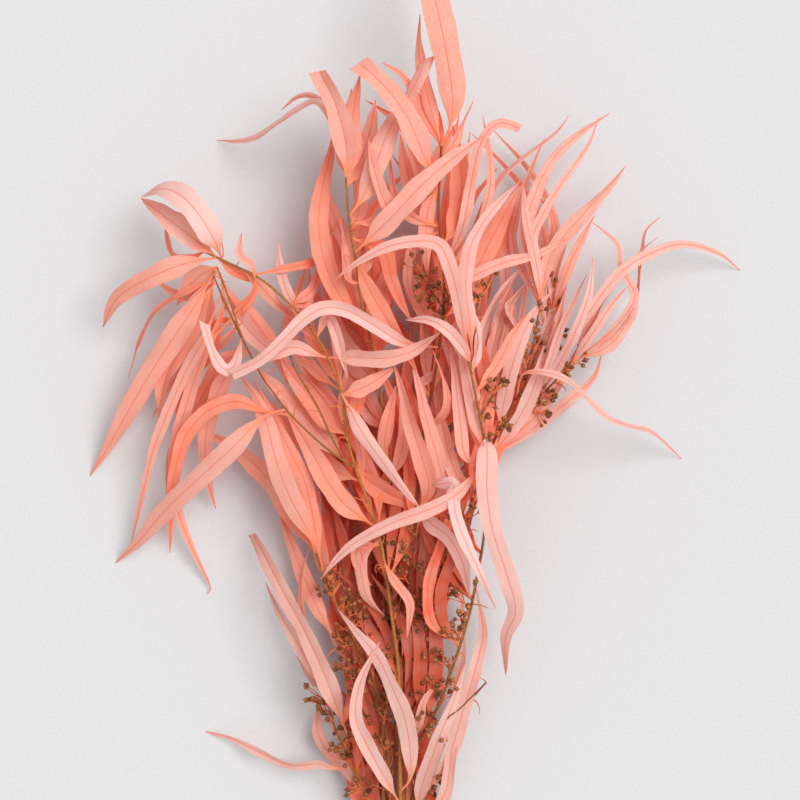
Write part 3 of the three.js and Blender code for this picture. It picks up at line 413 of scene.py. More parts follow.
# Leaves that only show in the gaps between the others and underneath: how many, first and last place
# along the stem, and height of their middles. Their spread stays within the bunch's own outline.
FILLING = {
    "a": (5, 0.4, 0.75, 42),
    "b": (3, 0.45, 0.98, 24),
    "c": (1, 0.5, 0.95, 16),
    "d": (6, 0.3, 0.88, 34),
    "e": (6, 0.3, 0.84, 40),
    "f": (5, 0.35, 0.95, 50),
    "g": (5, 0.3, 0.97, 24),
    "h": (4, 0.3, 0.98, 26),
    "i": (3, 0.35, 0.95, 14),
    "j": (1, 0.35, 0.95, 14),
}
# Small slim leaves among the large ones: how many, first and last place along the stem, height as a
# part of the stem's, and their least and greatest width.
SLIM = {
    "a": [(10, 0.45, 0.98, 0.75, 5, 9), (11, 0.42, 0.66, 0.14, 9, 13)],
    "b": [(8, 0.4, 0.98, 0.7, 5, 9), (4, 0.7, 0.9, 0.25, 9, 12)],
    "c": [(5, 0.45, 0.98, 0.7, 5, 9)],
    "d": [(12, 0.4, 0.9, 0.6, 5, 9), (12, 0.42, 0.8, 0.2, 9, 14), (6, 0.7, 0.95, 0.5, 9, 13)],
    "e": [(12, 0.4, 0.86, 0.6, 5, 9), (12, 0.42, 0.8, 0.22, 9, 14), (6, 0.7, 0.95, 0.5, 9, 13)],
    "f": [(12, 0.42, 0.98, 0.65, 5, 9), (9, 0.45, 0.7, 0.2, 9, 13)],
    "g": [(16, 0.35, 0.98, 0.8, 5, 8)],
    "h": [(7, 0.5, 0.98, 0.7, 5, 9), (5, 0.6, 0.9, 0.3, 9, 13)],
    "i": [(5, 0.6, 0.98, 0.8, 5, 9)],
    "j": [(3, 0.4, 0.9, 0.8, 5, 9)],
}

# --- Hidden and slim leaves, placed by rules ---

FILLING_LENGTH = (95, 150)
FILLING_WIDTH = (15, 20)
FILLING_STEPS = 4
FILLING_TURN = (6, 30)  # degrees away from the stem's own direction
FILLING_BEND = (-8, 22)  # degrees of bend at each step
FILLING_MIDDLE = (0.6, 1.3)  # height of the middle and of the tip, as parts of the stem's height
FILLING_TIP = (0.3, 1.1)
FILLING_TWIST = 20  # degrees
RIBBON_APART = 0.24  # of the leaf's width, to either side of its middle
RIBBON_PARTED = 4  # they part over the first quarter of their length
RIBBON_REACH = (0.8, 1.0)
RIBBON_SLIM = (0.46, 0.62)
SLIM_LENGTH = (55, 115)
SLIM_TURN = (4, 26)
SLIM_BEND = (-10, 16)
SLIM_MIDDLE = (0.8, 1.1)
SLIM_TIP = (0.6, 1.2)
# The furthest places across the bunch at which they may be, from its base up.
OUTLINE_LEFT = "0,-24 100,-38 180,-44 230,-60 300,-84 340,-70 370,-56 480,-48 520,-30"
OUTLINE_RIGHT = "0,16 60,18 130,20 200,40 260,70 330,106 400,110 440,86 480,48 520,30"

# --- Tones of leaves that have none of their own, with painted shade for the hidden ones ---

INNER_SHADE_TONES = (-2.2, -1.0)  # of hidden leaves at the bottom of the bunch, low enough to paint them in shade
INNER_SHADE_FADE = 1.8  # added from here on along the bunch, in full after the span, so that the painted shade fades upwards
INNER_FROM = 90
INNER_SPAN = 170
# Added to the tones of all of a stem's leaves. For most stems it gives the leaves their own lighter
# colour; for i, low in the middle of the bunch, it is painted shade.
STEM_TONES_AND_SHADE = {"b": 0.2, "c": 0.4, "f": 0.35, "g": 0.65, "i": -1.9, "j": 0.5}

# --- Numbers and draws ---


def mix(low, high, part):
    return low + (high - low) * part


def rows(text):
    return [tuple(float(number) for number in row.split(",")) for row in text.split()]


def stream(name):
    """The same seeded draws, from 0 to 1, as the solid model makes for a name."""
    state = 7
    for letter in name:
        state = (state * 31 + ord(letter)) % 65521

    def draw():
        nonlocal state
        state = (state + 0x6D2B79F5) & 0xFFFFFFFF
        bits = (state ^ (state >> 15)) * (1 | state) & 0xFFFFFFFF
        bits = (bits + ((bits ^ (bits >> 7)) * (61 | bits)) & 0xFFFFFFFF) ^ bits
        return ((bits ^ (bits >> 14)) & 0xFFFFFFFF) / 4294967296

    return draw


def scatter(draw):
    return np.array([draw() - 0.5, draw() - 0.5, draw() - 0.5])


def between(table, at):
    """The value at a place, from a row of places and their values."""
    places, values = zip(*rows(table))
    return np.interp(at, places, values)


def smooth(value):
    part = np.clip(value, 0, 1)
    return part * part * (3 - 2 * part)


def arch(start, middle, end, part):
    """A value that goes from start to end by way of middle, halfway."""
    return (start * (2 * part ** 2 - 3 * part + 1) + middle * (4 * part - 4 * part ** 2)
            + end * (2 * part ** 2 - part))


# --- Curves ---

FINEST = np.linspace(0, 1, 201)


def place(u, v, z):
    shrink = 1 - z / EYE_HEIGHT
    return np.array([u * shrink, EYE_Y + (v - EYE_Y) * shrink, z])


def unit(vector):
    return vector / np.maximum(np.linalg.norm(vector, axis=-1, keepdims=True), 1e-12)


def lengths_along(points):
    steps = np.linalg.norm(np.diff(points, axis=0), axis=1)
    return np.concatenate([[0], np.cumsum(steps)])


def catmull(points, at):
    """Points of the smooth curve through some points, at parameters from 0 to 1."""
    points = np.asarray(points)
    spans = len(points) - 1
    ghost = np.vstack([2 * points[0] - points[1], points, 2 * points[-1] - points[-2]])
    place_on = np.asarray(at) * spans
    span = np.minimum(place_on.astype(int), spans - 1)
    part = (place_on - span)[:, None]
    before, start, end, after = (ghost[span + shift] for shift in range(4))
    leave = (end - before) / 2
    arrive = (after - start) / 2
    square = 3 * (end - start) - 2 * leave - arrive
    cube = 2 * (start - end) + leave + arrive
    return start + leave * part + square * part ** 2 + cube * part ** 3


class Curve:
    """A smooth curve through some points, read by its length."""

    def __init__(self, points):
        self.points = points
        self.lengths = lengths_along(catmull(points, FINEST))
        self.length = self.lengths[-1]

    def at(self, parts):
        wanted = np.asarray(parts) * self.length
        return catmull(self.points, np.interp(wanted, self.lengths, FINEST))

    def spaced(self, step):
        count = max(math.floor(self.length / step + 0.5), 2)
        return self.at(np.linspace(0, 1, count + 1))


def frames(points):
    """The direction along each point of a row, and the two directions across it."""
    before = points[np.maximum(np.arange(len(points)) - 1, 0)]
    after = points[np.minimum(np.arange(len(points)) + 1, len(points) - 1)]
    along = unit(after - before)
    side = unit(np.cross(along, UP))
    return along, side, np.cross(side, along)


def nearest_on(paths, target):
    """The place on some paths that lies nearest as seen from above, its path, and how far along."""
    nearest = math.inf
    for path in paths:
        for index in range(len(path) - 1):
            start, end = path[index], path[index + 1]
            run, rise = (end - start)[:2]
            along = ((target[0] - start[0]) * run + (target[1] - start[1]) * rise) / (run ** 2 + rise ** 2)
            part = min(max(along, 0), 1)
            point = start + (end - start) * part
            distance = math.hypot(point[0] - target[0], point[1] - target[1])
            if distance < nearest:
                nearest = distance
                found = (point, path, index + part)
    return found


def point_along(path, at):
    index = min(max(math.floor(at), 0), len(path) - 2)
    return path[index] + (path[index + 1] - path[index]) * max(at - index, 0)


# --- The solid model's corners ---

MATCH_DISTANCE = 0.02
LEAST_MATCH = 0.3  # share of a leaf's corners that has to be found
GOOD_MATCH = 0.7  # share at which the search ends

band_low, band_high = (np.array(corner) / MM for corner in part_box("rubber_band"))
band_middle = (band_low + band_high) / 2
SHIFT = np.array([band_middle[0], band_middle[1] - BAND_Y, band_low[2]])  # to the model's own frame


def corner_tree(node):
    """The corners of one of the solid model's nodes, ready to be searched."""
    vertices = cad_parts[node].data.vertices
    tree = kdtree.KDTree(len(vertices))
    for index, vertex in enumerate(vertices):
        tree.insert(np.array(vertex.co) / MM - SHIFT, index)
    tree.balance()
    return tree


def share_found(tree, corners):
    found = sum(tree.find(corner)[2] < MATCH_DISTANCE for corner in corners)
    return found / len(corners)


# --- Leaves as the solid model has them ---

# The lifts of a leaf's middle and tip that the solid model tries in turn, to get it clear of others.
FITS = sorted(((middle, tip) for middle in LIFTS for tip in LIFTS),
              key=lambda lifts: abs(lifts[0]) + abs(lifts[1]))


class Leaf:
    """A leaf: width, heights of its middle and tip, places, turns, and its middle line once it has one."""

    def __init__(self, name, width, heights, route, rolls, blunt=False, tone=(), inner=False):
        self.name = name
        self.stem = name[0]
        self.width = width
        self.middle, self.tip = heights
        self.route = route
        self.roll, self.tip_roll = rolls
        self.blunt = blunt
        self.tone = tone
        self.inner = inner
        self.curve = None


def placed_leaf(name, row):
    """A leaf of the layout, with the lean and turn that its name draws."""
    blunt = row.endswith("blunt")
    (width, middle, tip, *tone), *route = rows(row.removesuffix("blunt"))
    draw = stream(name)
    true_width = max(width, NARROWEST_LEAF)
    lean = math.acos(min(width / true_width, 1))
    sign = -1 if draw() < 0.5 else 1
    if lean > 0:
        roll = sign * min(lean, math.radians(STEEPEST_LEAN))
    else:
        roll = math.radians(ROLL) * (draw() * 2 - 1)
    tip_roll = roll + math.radians(TWIST) * (draw() * 2 - 1) if tip > 0 else 0
    return Leaf(name, true_width, (middle, tip), route, (roll, tip_roll), blunt, tone)


def leaf_root(paths, leaf):
    """Where a leaf leaves its stem, as it looks from the eye."""
    near = nearest_on(paths, place(*leaf.route[0], SEEK_HEIGHT))[0]
    back = 1 - near[2] / EYE_HEIGHT
    return np.array([near[0] / back, EYE_Y + (near[1] - EYE_Y) / back, near[2]])


def leaf_line(root, leaf, middle, tip):
    """A leaf's middle line, at heights on one arch, and its length as seen."""
    flat = np.array([root[:2], *leaf.route[1:]])
    steps = np.hypot(*np.diff(flat, axis=0).T)
    parts = np.concatenate([[0], np.cumsum(steps)]) / steps.sum()
    heights = arch(root[2], middle, tip, parts)
    heights[1:] = np.maximum(heights[1:], BLADE_THICKNESS / 2)
    points = np.array([place(u, v, z) for (u, v), z in zip(flat, heights)])
    return Curve(points), steps.sum()


def own_line(paths, leaf):
    return leaf_line(leaf_root(paths, leaf), leaf, leaf.middle, leaf.tip)[0]


def blade_shape(part):
    """A blade's breadth along it, as a part of its width: broadest near its base, then a long taper."""
    return max(math.sin(math.pi * min(part, 1) ** BROAD_BASE), 0) ** FULL_SIDES


def width_at(part, leaf):
    """The width of the solid model's blade, past its stalk."""
    blade_part = (part - PETIOLE_PART) / (1 - PETIOLE_PART)
    least = leaf.width * BLUNT_TIP if leaf.blunt and blade_part > BLUNT_FROM else TIP_WIDTH
    return max(leaf.width * blade_shape(blade_part), least, TIP_WIDTH)


def bend_room(points, along, index):
    """The greatest half width that a leaf has room for inside its bend."""
    before = index - 1
    after = min(index + 1, len(points) - 1)
    turn = math.acos(min(along[before] @ along[after], 1)) / 2
    reach = min(np.linalg.norm(points[index] - points[other]) for other in {before, after} - {index})
    return BEND_ROOM * reach / max(math.tan(turn), 0.01)


def roll_at(leaf, part):
    if part < 0.5:
        return mix(0, leaf.roll, part * 2)
    return mix(leaf.roll, leaf.tip_roll, part * 2 - 1)


def leaf_corners(root, leaf, middle, tip):
    """The solid model's corners of the outer part of a leaf."""
    curve, total = leaf_line(root, leaf, middle, tip)
    steps = min(max(math.floor(total / BLADE_STEP + 0.5), BLADE_FEWEST_STEPS), BLADE_MOST_STEPS)
    rings = [mix(PETIOLE_PART, 1, (step / (steps - 1)) ** RING_CROWDING) for step in range(steps)]
    parts = np.array([0, *rings])
    points = curve.at(parts)
    along, side, normal = frames(points)
    corners = []
    for index in range(2, len(parts)):
        half = min(width_at(parts[index], leaf) / 2, bend_room(points, along, index))
        roll = roll_at(leaf, parts[index])
        across = side[index] * math.cos(roll) + normal[index] * math.sin(roll)
        up = np.cross(across, along[index])
        for x in (-half, half):
            for y in (-BLADE_THICKNESS / 2, BLADE_THICKNESS / 2):
                corners.append(points[index] + across * x + up * y)
    return corners


def settle(paths, leaf, tree):
    """Gives a leaf the heights that it has in the solid model, or its own where that has no such leaf."""
    root = leaf_root(paths, leaf)
    best = (LEAST_MATCH, leaf.middle, leaf.tip)
    for lift_middle, lift_tip in FITS:
        if leaf.tip == 0 and lift_tip != 0:
            continue
        middle = max(leaf.middle + lift_middle, LOWEST_MIDDLE)
        tip = max(leaf.tip + lift_tip, BLADE_THICKNESS / 2)
        share = share_found(tree, leaf_corners(root, leaf, middle, tip))
        if share > best[0]:
            best = (share, middle, tip)
        if share > GOOD_MATCH:
            break
    leaf.curve = leaf_line(root, leaf, *best[1:])[0]


# --- Filling leaves and slim leaves ---


def follow(main, part, number, turn, length, bend, draw):
    """A leaf's places as it parts from its stem, within the bunch's outline, and its stem's height."""
    index = min(math.floor(part * (len(main) - 1) + 0.5), len(main) - 2)
    along = main[index + 1] - main[index]
    hand = 1 if number % 2 else -1
    heading = math.atan2(along[0], along[1]) + hand * math.radians(mix(*turn, draw()))
    step = mix(*length, draw()) / FILLING_STEPS
    bent = hand * math.radians(mix(*bend, draw()))
    u, v, height = main[index]
    route = [(u, v)]
    for count in range(1, FILLING_STEPS + 1):
        turned = heading + bent * (count - FILLING_STEPS / 2)
        v += math.cos(turned) * step
        u += math.sin(turned) * step
        u = min(max(u, between(OUTLINE_LEFT, v)), between(OUTLINE_RIGHT, v))
        route.append((u, v))
    return route, height


def filling_leaf(stem, number, main):
    """A leaf that only shows in the gaps between others."""
    count, first, last, height = FILLING[stem]
    name = f"{stem}_fill_{number}"
    draw = stream(name)
    part = mix(first, last, number / max(count - 1, 1))
    route, _ = follow(main, part, number, FILLING_TURN, FILLING_LENGTH, FILLING_BEND, draw)
    middle = height * mix(*FILLING_MIDDLE, draw())
    tip = height * mix(*FILLING_TIP, draw())
    roll = math.radians(ROLL) * (draw() * 2 - 1)
    width = mix(*FILLING_WIDTH, draw())
    tip_roll = roll + math.radians(FILLING_TWIST) * draw()
    return Leaf(name, width, (middle, tip), route, (roll, tip_roll), inner=True)


def ribbons(leaf):
    """A filling leaf of the solid model as the two slimmer leaves that it stands for, side by side."""
    parts = np.linspace(0, 1, FILLING_STEPS + 2)[:, None]
    points = leaf.curve.at(parts[:, 0])
    side = frames(points)[1]
    for hand in (-1, 1):
        name = f"{leaf.name}_{hand}"
        draw = stream(name)
        apart = hand * RIBBON_APART * leaf.width * (smooth(parts * RIBBON_PARTED) + parts * draw())
        reach = mix(*RIBBON_REACH, draw()) if hand > 0 else 1.0
        curve = Curve(points + side * apart + UP * parts * hand)
        made = copy.copy(leaf)
        made.name = name
        made.width *= mix(*RIBBON_SLIM, draw())
        made.curve = Curve(curve.at(parts[:, 0] * reach))
        yield made


def slim_leaf(stem, row, number, main):
    """A small leaf that follows its stem upwards, at a part of the stem's height."""
    count, first, last, level, least, most = row
    name = f"{stem}_slim_{level}_{number}"
    draw = stream(name)
    part = mix(first, last, (number + 0.5) / count)
    route, stem_height = follow(main, part, number, SLIM_TURN, SLIM_LENGTH, SLIM_BEND, draw)
    height = stem_height * level
    roll = math.radians(ROLL) * (draw() * 2 - 1)
    width = mix(least, most, draw())
    middle = height * mix(*SLIM_MIDDLE, draw())
    tip = height * mix(*SLIM_TIP, draw())
    tip_roll = roll + math.radians(TWIST) * draw()
    leaf = Leaf(name, width, (middle, tip), route, (roll, tip_roll), inner=True)
    leaf.curve = own_line([main], leaf)
    return leaf


# --- Meshes ---

SHARP_ANGLE = 48


def notes(*parts):
    """The three numbers that a material reads at each corner."""
    return np.stack(np.broadcast_arrays(*parts), axis=-1)


class Surface:
    """Collects corners, faces and the two notes that the materials read, for one piece."""

    def __init__(self):
        self.corners = []
        self.faces = []
        self.notes = {"kind": [], "spot": []}
        self.count = 0

    def add(self, corners, faces, kind, spot):
        self.faces.extend(tuple(corner + self.count for corner in face) for face in faces)
        self.corners.append(corners.reshape(-1, 3))
        self.notes["kind"].append(kind.reshape(-1, 3))
        self.notes["spot"].append(spot.reshape(-1, 3))
        self.count += len(self.corners[-1])

    def piece(self, name, material, slot, node):
        mesh = bpy.data.meshes.new(name)
        corners = (np.concatenate(self.corners) + SHIFT) * MM
        mesh.from_pydata(corners.tolist(), [], self.faces)
        for note, values in self.notes.items():
            attribute = mesh.attributes.new(note, "FLOAT_VECTOR", "POINT")
            attribute.data.foreach_set("vector", np.concatenate(values).astype(np.float32).ravel())
        mesh.polygons.foreach_set("use_smooth", np.ones(len(mesh.polygons), bool))
        mesh.set_sharp_from_angle(angle=math.radians(SHARP_ANGLE))
        mesh.materials.append(material)
        made = bpy.data.objects.new(name, mesh)
        bpy.context.scene.collection.objects.link(made)
        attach(made, "root")
        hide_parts(node)


def ring_faces(rings, around, closed=False):
    """Faces between rings of corners, facing out."""
    faces = []
    for ring in range(rings if closed else rings - 1):
        first = ring * around
        second = (ring + 1) % rings * around
        for corner in range(around):
            after = (corner + 1) % around
            faces.append((first + corner, second + corner, second + after, first + after))
    return faces


def capped_faces(rings, around):
    """As ring_faces, with both ends closed by one face."""
    last = (rings - 1) * around
    ends = [tuple(range(around)), tuple(reversed(range(last, last + around)))]
    return ring_faces(rings, around) + ends


def tube(surface, points, radii, sides, tone, seed):
    """A round stem along a row of points."""
    _, side, normal = frames(points)
    angles = np.arange(sides) / sides * math.tau
    circle = side[:, None] * np.cos(angles)[:, None] + normal[:, None] * np.sin(angles)[:, None]
    corners = points[:, None] + circle * radii[:, None, None]
    lengths = lengths_along(points)[:, None]
    kinds = notes(tone, lengths / lengths[-1], 0 * angles)
    surface.add(corners, capped_faces(len(points), sides), kinds, notes(angles, lengths, seed))


# --- Blades ---

FINE_THICKNESS = 0.36
EDGE_THICKNESS = 0.16
FINE_STEP = 4.2  # between the rows of a leaf's mesh
FEWEST_ROWS = 12
ACROSS = np.array([-1, -0.93, -0.78, -0.55, -0.3, -0.1, 0, 0.1, 0.3, 0.55, 0.78, 0.93, 1])
RIB_HEIGHT = 0.32  # of the rib underneath, and depth of the groove above it
RIB_GROOVE = 0.1
RIB_HALF_WIDTH = 0.75
RIB_FADE = 1.1  # above 1, so that a little of it reaches the tip
STALK_THICKNESS = 1.0
STALK_WIDTHS = (1.5, 1.25)  # of a leaf's stalk, from the stem to the blade
STALK_ROUND = 1.02  # above 1, so that the stalk keeps some thickness at its sides
BLADE_FROM = 0.7  # as parts of PETIOLE_PART: where the stalk begins to flatten,
BLADE_WITHIN = 0.9  # and the length that this takes
LEAST_WIDTHS = (1.3, 0.3)  # of a blade, from its base to its tip
WEDGE_PART = 0.2  # the part of a blade over which it widens
WEDGE_CURVE = 0.9
TAPER_FROM = 0.28
TAPER_CURVE = 2.3
FINE_WIDTH = 0.89  # of the solid leaf's
SLENDER = {"g": 0.84}  # for the leaves of one stem
LEAST_BEND = 0.85  # a half width's part of the tightest bend that it can follow
UNEVEN = 0.06
UNEVEN_TIMES = (1.5, 4)  # swings of the width along a leaf
RAGGED = 0.03
SWAY = 9  # degrees
SWAY_TIMES = (1.0, 2.2)
CUP = (-0.2, 0.36)  # rise of the edges, as a part of the half width
CUP_LEVEL = 0.3  # lowers the middle, so that the leaf stays round its middle line
FOLD = (0.05, 0.42)
FOLD_LEVEL = 0.4
FOLD_SHARE = 0.5  # of the leaves
WAVE = (0.03125, 0.1875)  # of the edges, as a part of the half width
WAVE_LENGTH = (26, 48)
WAVE_APART = (0.3, 0.7)  # of a wave, between the two edges
TEAR = 4.5  # slant of a torn end
TEAR_FROM = 0.86
RAGGED_END = 0.6
FOLDED = {"f5"}  # leaves that come into view at a fold, with no stalk to be seen
FOLDED_LEAST = 0.4
FOLD_PART = 0.3  # their shade begins as this far along a leaf


def fine_width(part, leaf):
    """A leaf's width with the slim stalk and drawn-out tip that the solid model rounds off."""
    if leaf.name in FOLDED:
        rounded = min(1, 4 * math.sqrt(part)) * (1 - part ** TAPER_CURVE) ** 0.5
        return max(leaf.width * rounded, FOLDED_LEAST)
    if part <= PETIOLE_PART:
        return mix(*STALK_WIDTHS, part / PETIOLE_PART)
    blade_part = (part - PETIOLE_PART) / (1 - PETIOLE_PART)
    if leaf.blunt and blade_part > BLUNT_FROM:
        least = leaf.width * BLUNT_TIP
    else:
        least = mix(*LEAST_WIDTHS, blade_part)
    wedge = math.sin(math.pi / 2 * min(blade_part / WEDGE_PART, 1)) ** WEDGE_CURVE
    taper = 1 - max((blade_part - TAPER_FROM) / (1 - TAPER_FROM), 0) ** TAPER_CURVE
    return max(leaf.width * FINE_WIDTH * SLENDER.get(leaf.stem, 1) * wedge * taper, least)


def swing(parts, times, draw):
    return np.sin(math.tau * (parts * mix(*times, draw()) + draw()))


def half_widths(leaf, parts, along, bladed, draw):
    """Half a leaf's width along it: less in a sharp bend, and a little uneven."""
    turns = np.arccos(np.clip((along[1:] * along[:-1]).sum(1), -1, 1))
    bends = np.convolve(np.append(turns, turns[-1]), np.ones(3) / 3, "same")
    spacing = leaf.curve.length / (len(parts) - 1)
    half = np.array([fine_width(part, leaf) for part in parts]) / 2
    half = np.minimum(half, LEAST_BEND * spacing / np.maximum(bends, 1e-3))
    half = np.convolve(np.pad(half, 1, "edge"), [0.25, 0.5, 0.25], "valid")
    return half * (1 + UNEVEN * swing(parts, UNEVEN_TIMES, draw) * bladed)


def edges(half, bladed, draw):
    """How far each corner is from the rib, to either side of it, with edges that are not quite even."""
    ragged = np.array([[mix(-RAGGED, RAGGED, draw()), mix(-RAGGED, RAGGED, draw())] for _ in half])
    ragged = 1 + ragged * bladed
    return half * ACROSS * np.where(ACROSS < 0, ragged[:, :1], ragged[:, 1:])


def rise(half, lengths, draw):
    """How far a leaf rises across its width: its cup, its fold along the rib, and its waved edges."""
    cup = mix(*CUP, draw())
    fold = mix(*FOLD, draw()) if draw() < FOLD_SHARE else 0
    wave = mix(*WAVE, draw())
    along = lengths / mix(*WAVE_LENGTH, draw()) + draw() + (ACROSS > 0) * mix(*WAVE_APART, draw())
    waved = wave * ACROSS ** 2 * np.sin(math.tau * along)
    return half * (cup * (ACROSS ** 2 - CUP_LEVEL) + fold * (np.abs(ACROSS) - FOLD_LEVEL) + waved)


def torn_end(parts, draw):
    """How far each corner of a leaf's torn end is moved along it."""
    slant = mix(-TEAR, TEAR, draw())
    tears = ACROSS * slant + np.array([mix(-RAGGED_END, RAGGED_END, draw()) for _ in ACROSS])
    return tears * smooth((parts - TEAR_FROM) / (1 - TEAR_FROM))


def leaf_tone(leaf, draw):
    """A leaf's own tone, or else a drawn one; a hidden leaf's is low, for painted shade, lowest at the
    bottom of the bunch.
    """
    tone = draw()
    if leaf.tone:
        return leaf.tone[0]
    if leaf.inner:
        tone = mix(*INNER_SHADE_TONES, tone) + INNER_SHADE_FADE * smooth((leaf.route[0][1] - INNER_FROM) / INNER_SPAN)
    return tone + STEM_TONES_AND_SHADE.get(leaf.stem, 0)


def leaf_faces(rings):
    """As ring_faces, with each end closed between matching corners of the two sides."""
    around = 2 * len(ACROSS)
    faces = ring_faces(rings, around)
    last = (rings - 1) * around
    for corner in range(len(ACROSS) - 1):
        other = around - 1 - corner
        faces.append((corner, corner + 1, other - 1, other))
        faces.append((last + corner, last + other, last + other - 1, last + corner + 1))
    return faces


def both_sides(top, bottom):
    return np.concatenate([top, bottom[:, ::-1]], axis=1)


def blade(surface, leaf):
    """A leaf as a thin closed blade, with a raised rib."""
    draw = stream(leaf.name + "_look")
    parts = np.linspace(0, 1, max(round(leaf.curve.length / FINE_STEP), FEWEST_ROWS) + 1)
    points = leaf.curve.at(parts)
    along, side, normal = frames(points)
    bladed = smooth((parts - PETIOLE_PART * BLADE_FROM) / (PETIOLE_PART * BLADE_WITHIN))
    half = half_widths(leaf, parts, along, bladed, draw)[:, None]
    parts, bladed = parts[:, None], bladed[:, None]
    wide = edges(half, bladed, draw)

    sway = math.radians(SWAY) * swing(parts, SWAY_TIMES, draw) * bladed
    roll = arch(0, leaf.roll, leaf.tip_roll, parts) + sway
    across = side * np.cos(roll) + normal * np.sin(roll)
    up = np.cross(across, along)

    lengths = parts * leaf.curve.length
    lift = rise(half, lengths, draw) * bladed
    flat = mix(FINE_THICKNESS, EDGE_THICKNESS, np.abs(ACROSS) ** 3)
    thick = mix(STALK_THICKNESS * np.sqrt(STALK_ROUND - ACROSS ** 2), flat, bladed)
    ridge = np.exp(-(wide / RIB_HALF_WIDTH) ** 2) * (RIB_FADE - parts) * bladed
    torn = torn_end(parts, draw) if leaf.blunt else np.zeros_like(wide)

    def sheet(height):
        return (points[:, None] + across[:, None] * wide[..., None] + up[:, None] * height[..., None]
                + along[:, None] * torn[..., None])

    top = sheet(lift + thick / 2 - RIB_GROOVE * ridge)
    bottom = sheet(lift - thick / 2 - RIB_HEIGHT * ridge)
    aged = mix(FOLD_PART, 1, parts) if leaf.name in FOLDED else parts
    kinds = notes(ACROSS, aged, leaf_tone(leaf, draw))
    spots = notes(wide, lengths, draw() * 100)
    surface.add(both_sides(top, bottom), leaf_faces(len(parts)), both_sides(kinds, kinds),
                both_sides(spots, spots))


# --- Stems ---

STEM_SIDES = 10
STEM_FINE = 0.8  # of the solid model's radius
BARK_STEP = 3.6
JOINTS = (16, 24)  # between the places where a leaf once grew
SWELLING = 0.14
SWELLING_SPREAD = 0.006
BARK_UNEVEN = 0.05
BARK_WAVE = 5
BANDED = 25  # past the rubber band, the stems keep the solid model's thickness
SLIMMING = 60
TWIG_TONE = 0.25  # added to the stem's
BARE_RADIUS = (1.0, 0.6)
BARE_TONE = (0.7, 1.1)

STALK_SIDES = 5
STALK_RADIUS = 0.42
STALK_TONE = 2
TENDRIL_SHARE = 1.7  # for each of the stem's steps
TENDRIL_FROM = 0.3
TENDRIL_LENGTH = (7, 17)
TENDRIL_BEND = (8, 62)  # degrees at each step
TENDRIL_STEPS = 4
TENDRIL_ROWS = 9
TENDRIL_RADIUS = 0.4
LOWEST_TENDRIL = 1


def routes(texts):
    return [[place(*point) for point in rows(text)] for text in texts]


def twig_curve(paths, route):
    return Curve([nearest_on(paths, route[0])[0], *route[1:]])


def bark(surface, curve, radius, tone, draw, cut_end=0):
    """A tapering stem with joints that stand out a little and a slightly uneven surface."""
    parts = np.linspace(0, 1, max(round(curve.length / BARK_STEP), 8) + 1)
    lengths = parts * curve.length
    joint = mix(*JOINTS, draw())
    swelling = SWELLING * np.exp(-((lengths / joint + draw()) % 1 - 0.5) ** 2 / SWELLING_SPREAD)
    uneven = 1 + BARK_UNEVEN * np.sin(lengths / BARK_WAVE + draw() * 9) + swelling
    slimmed = smooth((lengths - cut_end) / SLIMMING) if cut_end else 1
    radii = mix(*radius, parts ** 0.5) * uneven * mix(1, STEM_FINE, slimmed)
    tube(surface, curve.at(parts), radii, STEM_SIDES, tone, draw())


def grow_stem(surface, stem):
    """A stem and its twigs. Gives back the paths that leaves and buds hang on."""
    u, z, radius, tone = STEMS[stem]
    draw = stream(f"stem_{stem}")
    cut_end = place(u * CUT_SPLAY, CUT_Y, CUT_LOW + (z - BAND_LOW) * CUT_RISE)
    route, *twigs = routes(ROUTES[stem])
    main = Curve([cut_end, place(u, BAND_Y, z), *route])
    paths = [main.spaced(STEM_STEP)]
    bark(surface, main, (radius, STEM_TIP_RADIUS), tone, draw, BAND_Y - CUT_Y + BANDED)
    for route in twigs:
        twig = twig_curve(paths, route)
        paths.append(twig.spaced(TWIG_STEP))
        bark(surface, twig, TWIG_RADIUS, tone + TWIG_TONE, draw)
    return paths


def bare_twigs(surface, stem, paths):
    """Twigs that only carry buds. Gives back their paths."""
    draw = stream(f"bare_{stem}")
    twigs = [twig_curve(paths, route) for route in routes(BARE_TWIGS.get(stem, []))]
    for twig in twigs:
        bark(surface, twig, BARE_RADIUS, mix(*BARE_TONE, draw()), draw)
    return [twig.spaced(TWIG_STEP) for twig in twigs]


def tendril(surface, start, run, draw):
    """A thin dried stalk that curls away from a stem."""
    way = unit(run + np.linalg.norm(run) * scatter(draw) * 2)
    turn = unit(np.cross(way, scatter(draw)))
    step = mix(*TENDRIL_LENGTH, draw()) / TENDRIL_STEPS
    bend = math.radians(mix(*TENDRIL_BEND, draw()))
    points = [start]
    for _ in range(TENDRIL_STEPS):
        points.append(points[-1] + way * step)
        way = unit(way * math.cos(bend) + np.cross(turn, way) * math.sin(bend))
    points = Curve(points).at(np.linspace(0, 1, TENDRIL_ROWS))
    points[:, 2] = np.maximum(points[:, 2], LOWEST_TENDRIL)
    radii = TENDRIL_RADIUS * np.linspace(1.3, 0.7, TENDRIL_ROWS)
    tube(surface, points, radii, STALK_SIDES, STALK_TONE, draw())


def tendrils(surface, stem, paths):
    """The stalks that are left where leaves have dropped."""
    draw = stream(f"tendrils_{stem}")
    for path in paths:
        count = round(TENDRIL_SHARE * len(path) * np.linalg.norm(path[0] - path[1]) / STEM_STEP)
        for _ in range(count):
            start = point_along(path, mix(TENDRIL_FROM, 1, draw()) * (len(path) - 1))
            tendril(surface, start, path[-1] - path[0], draw)


# --- Buds ---

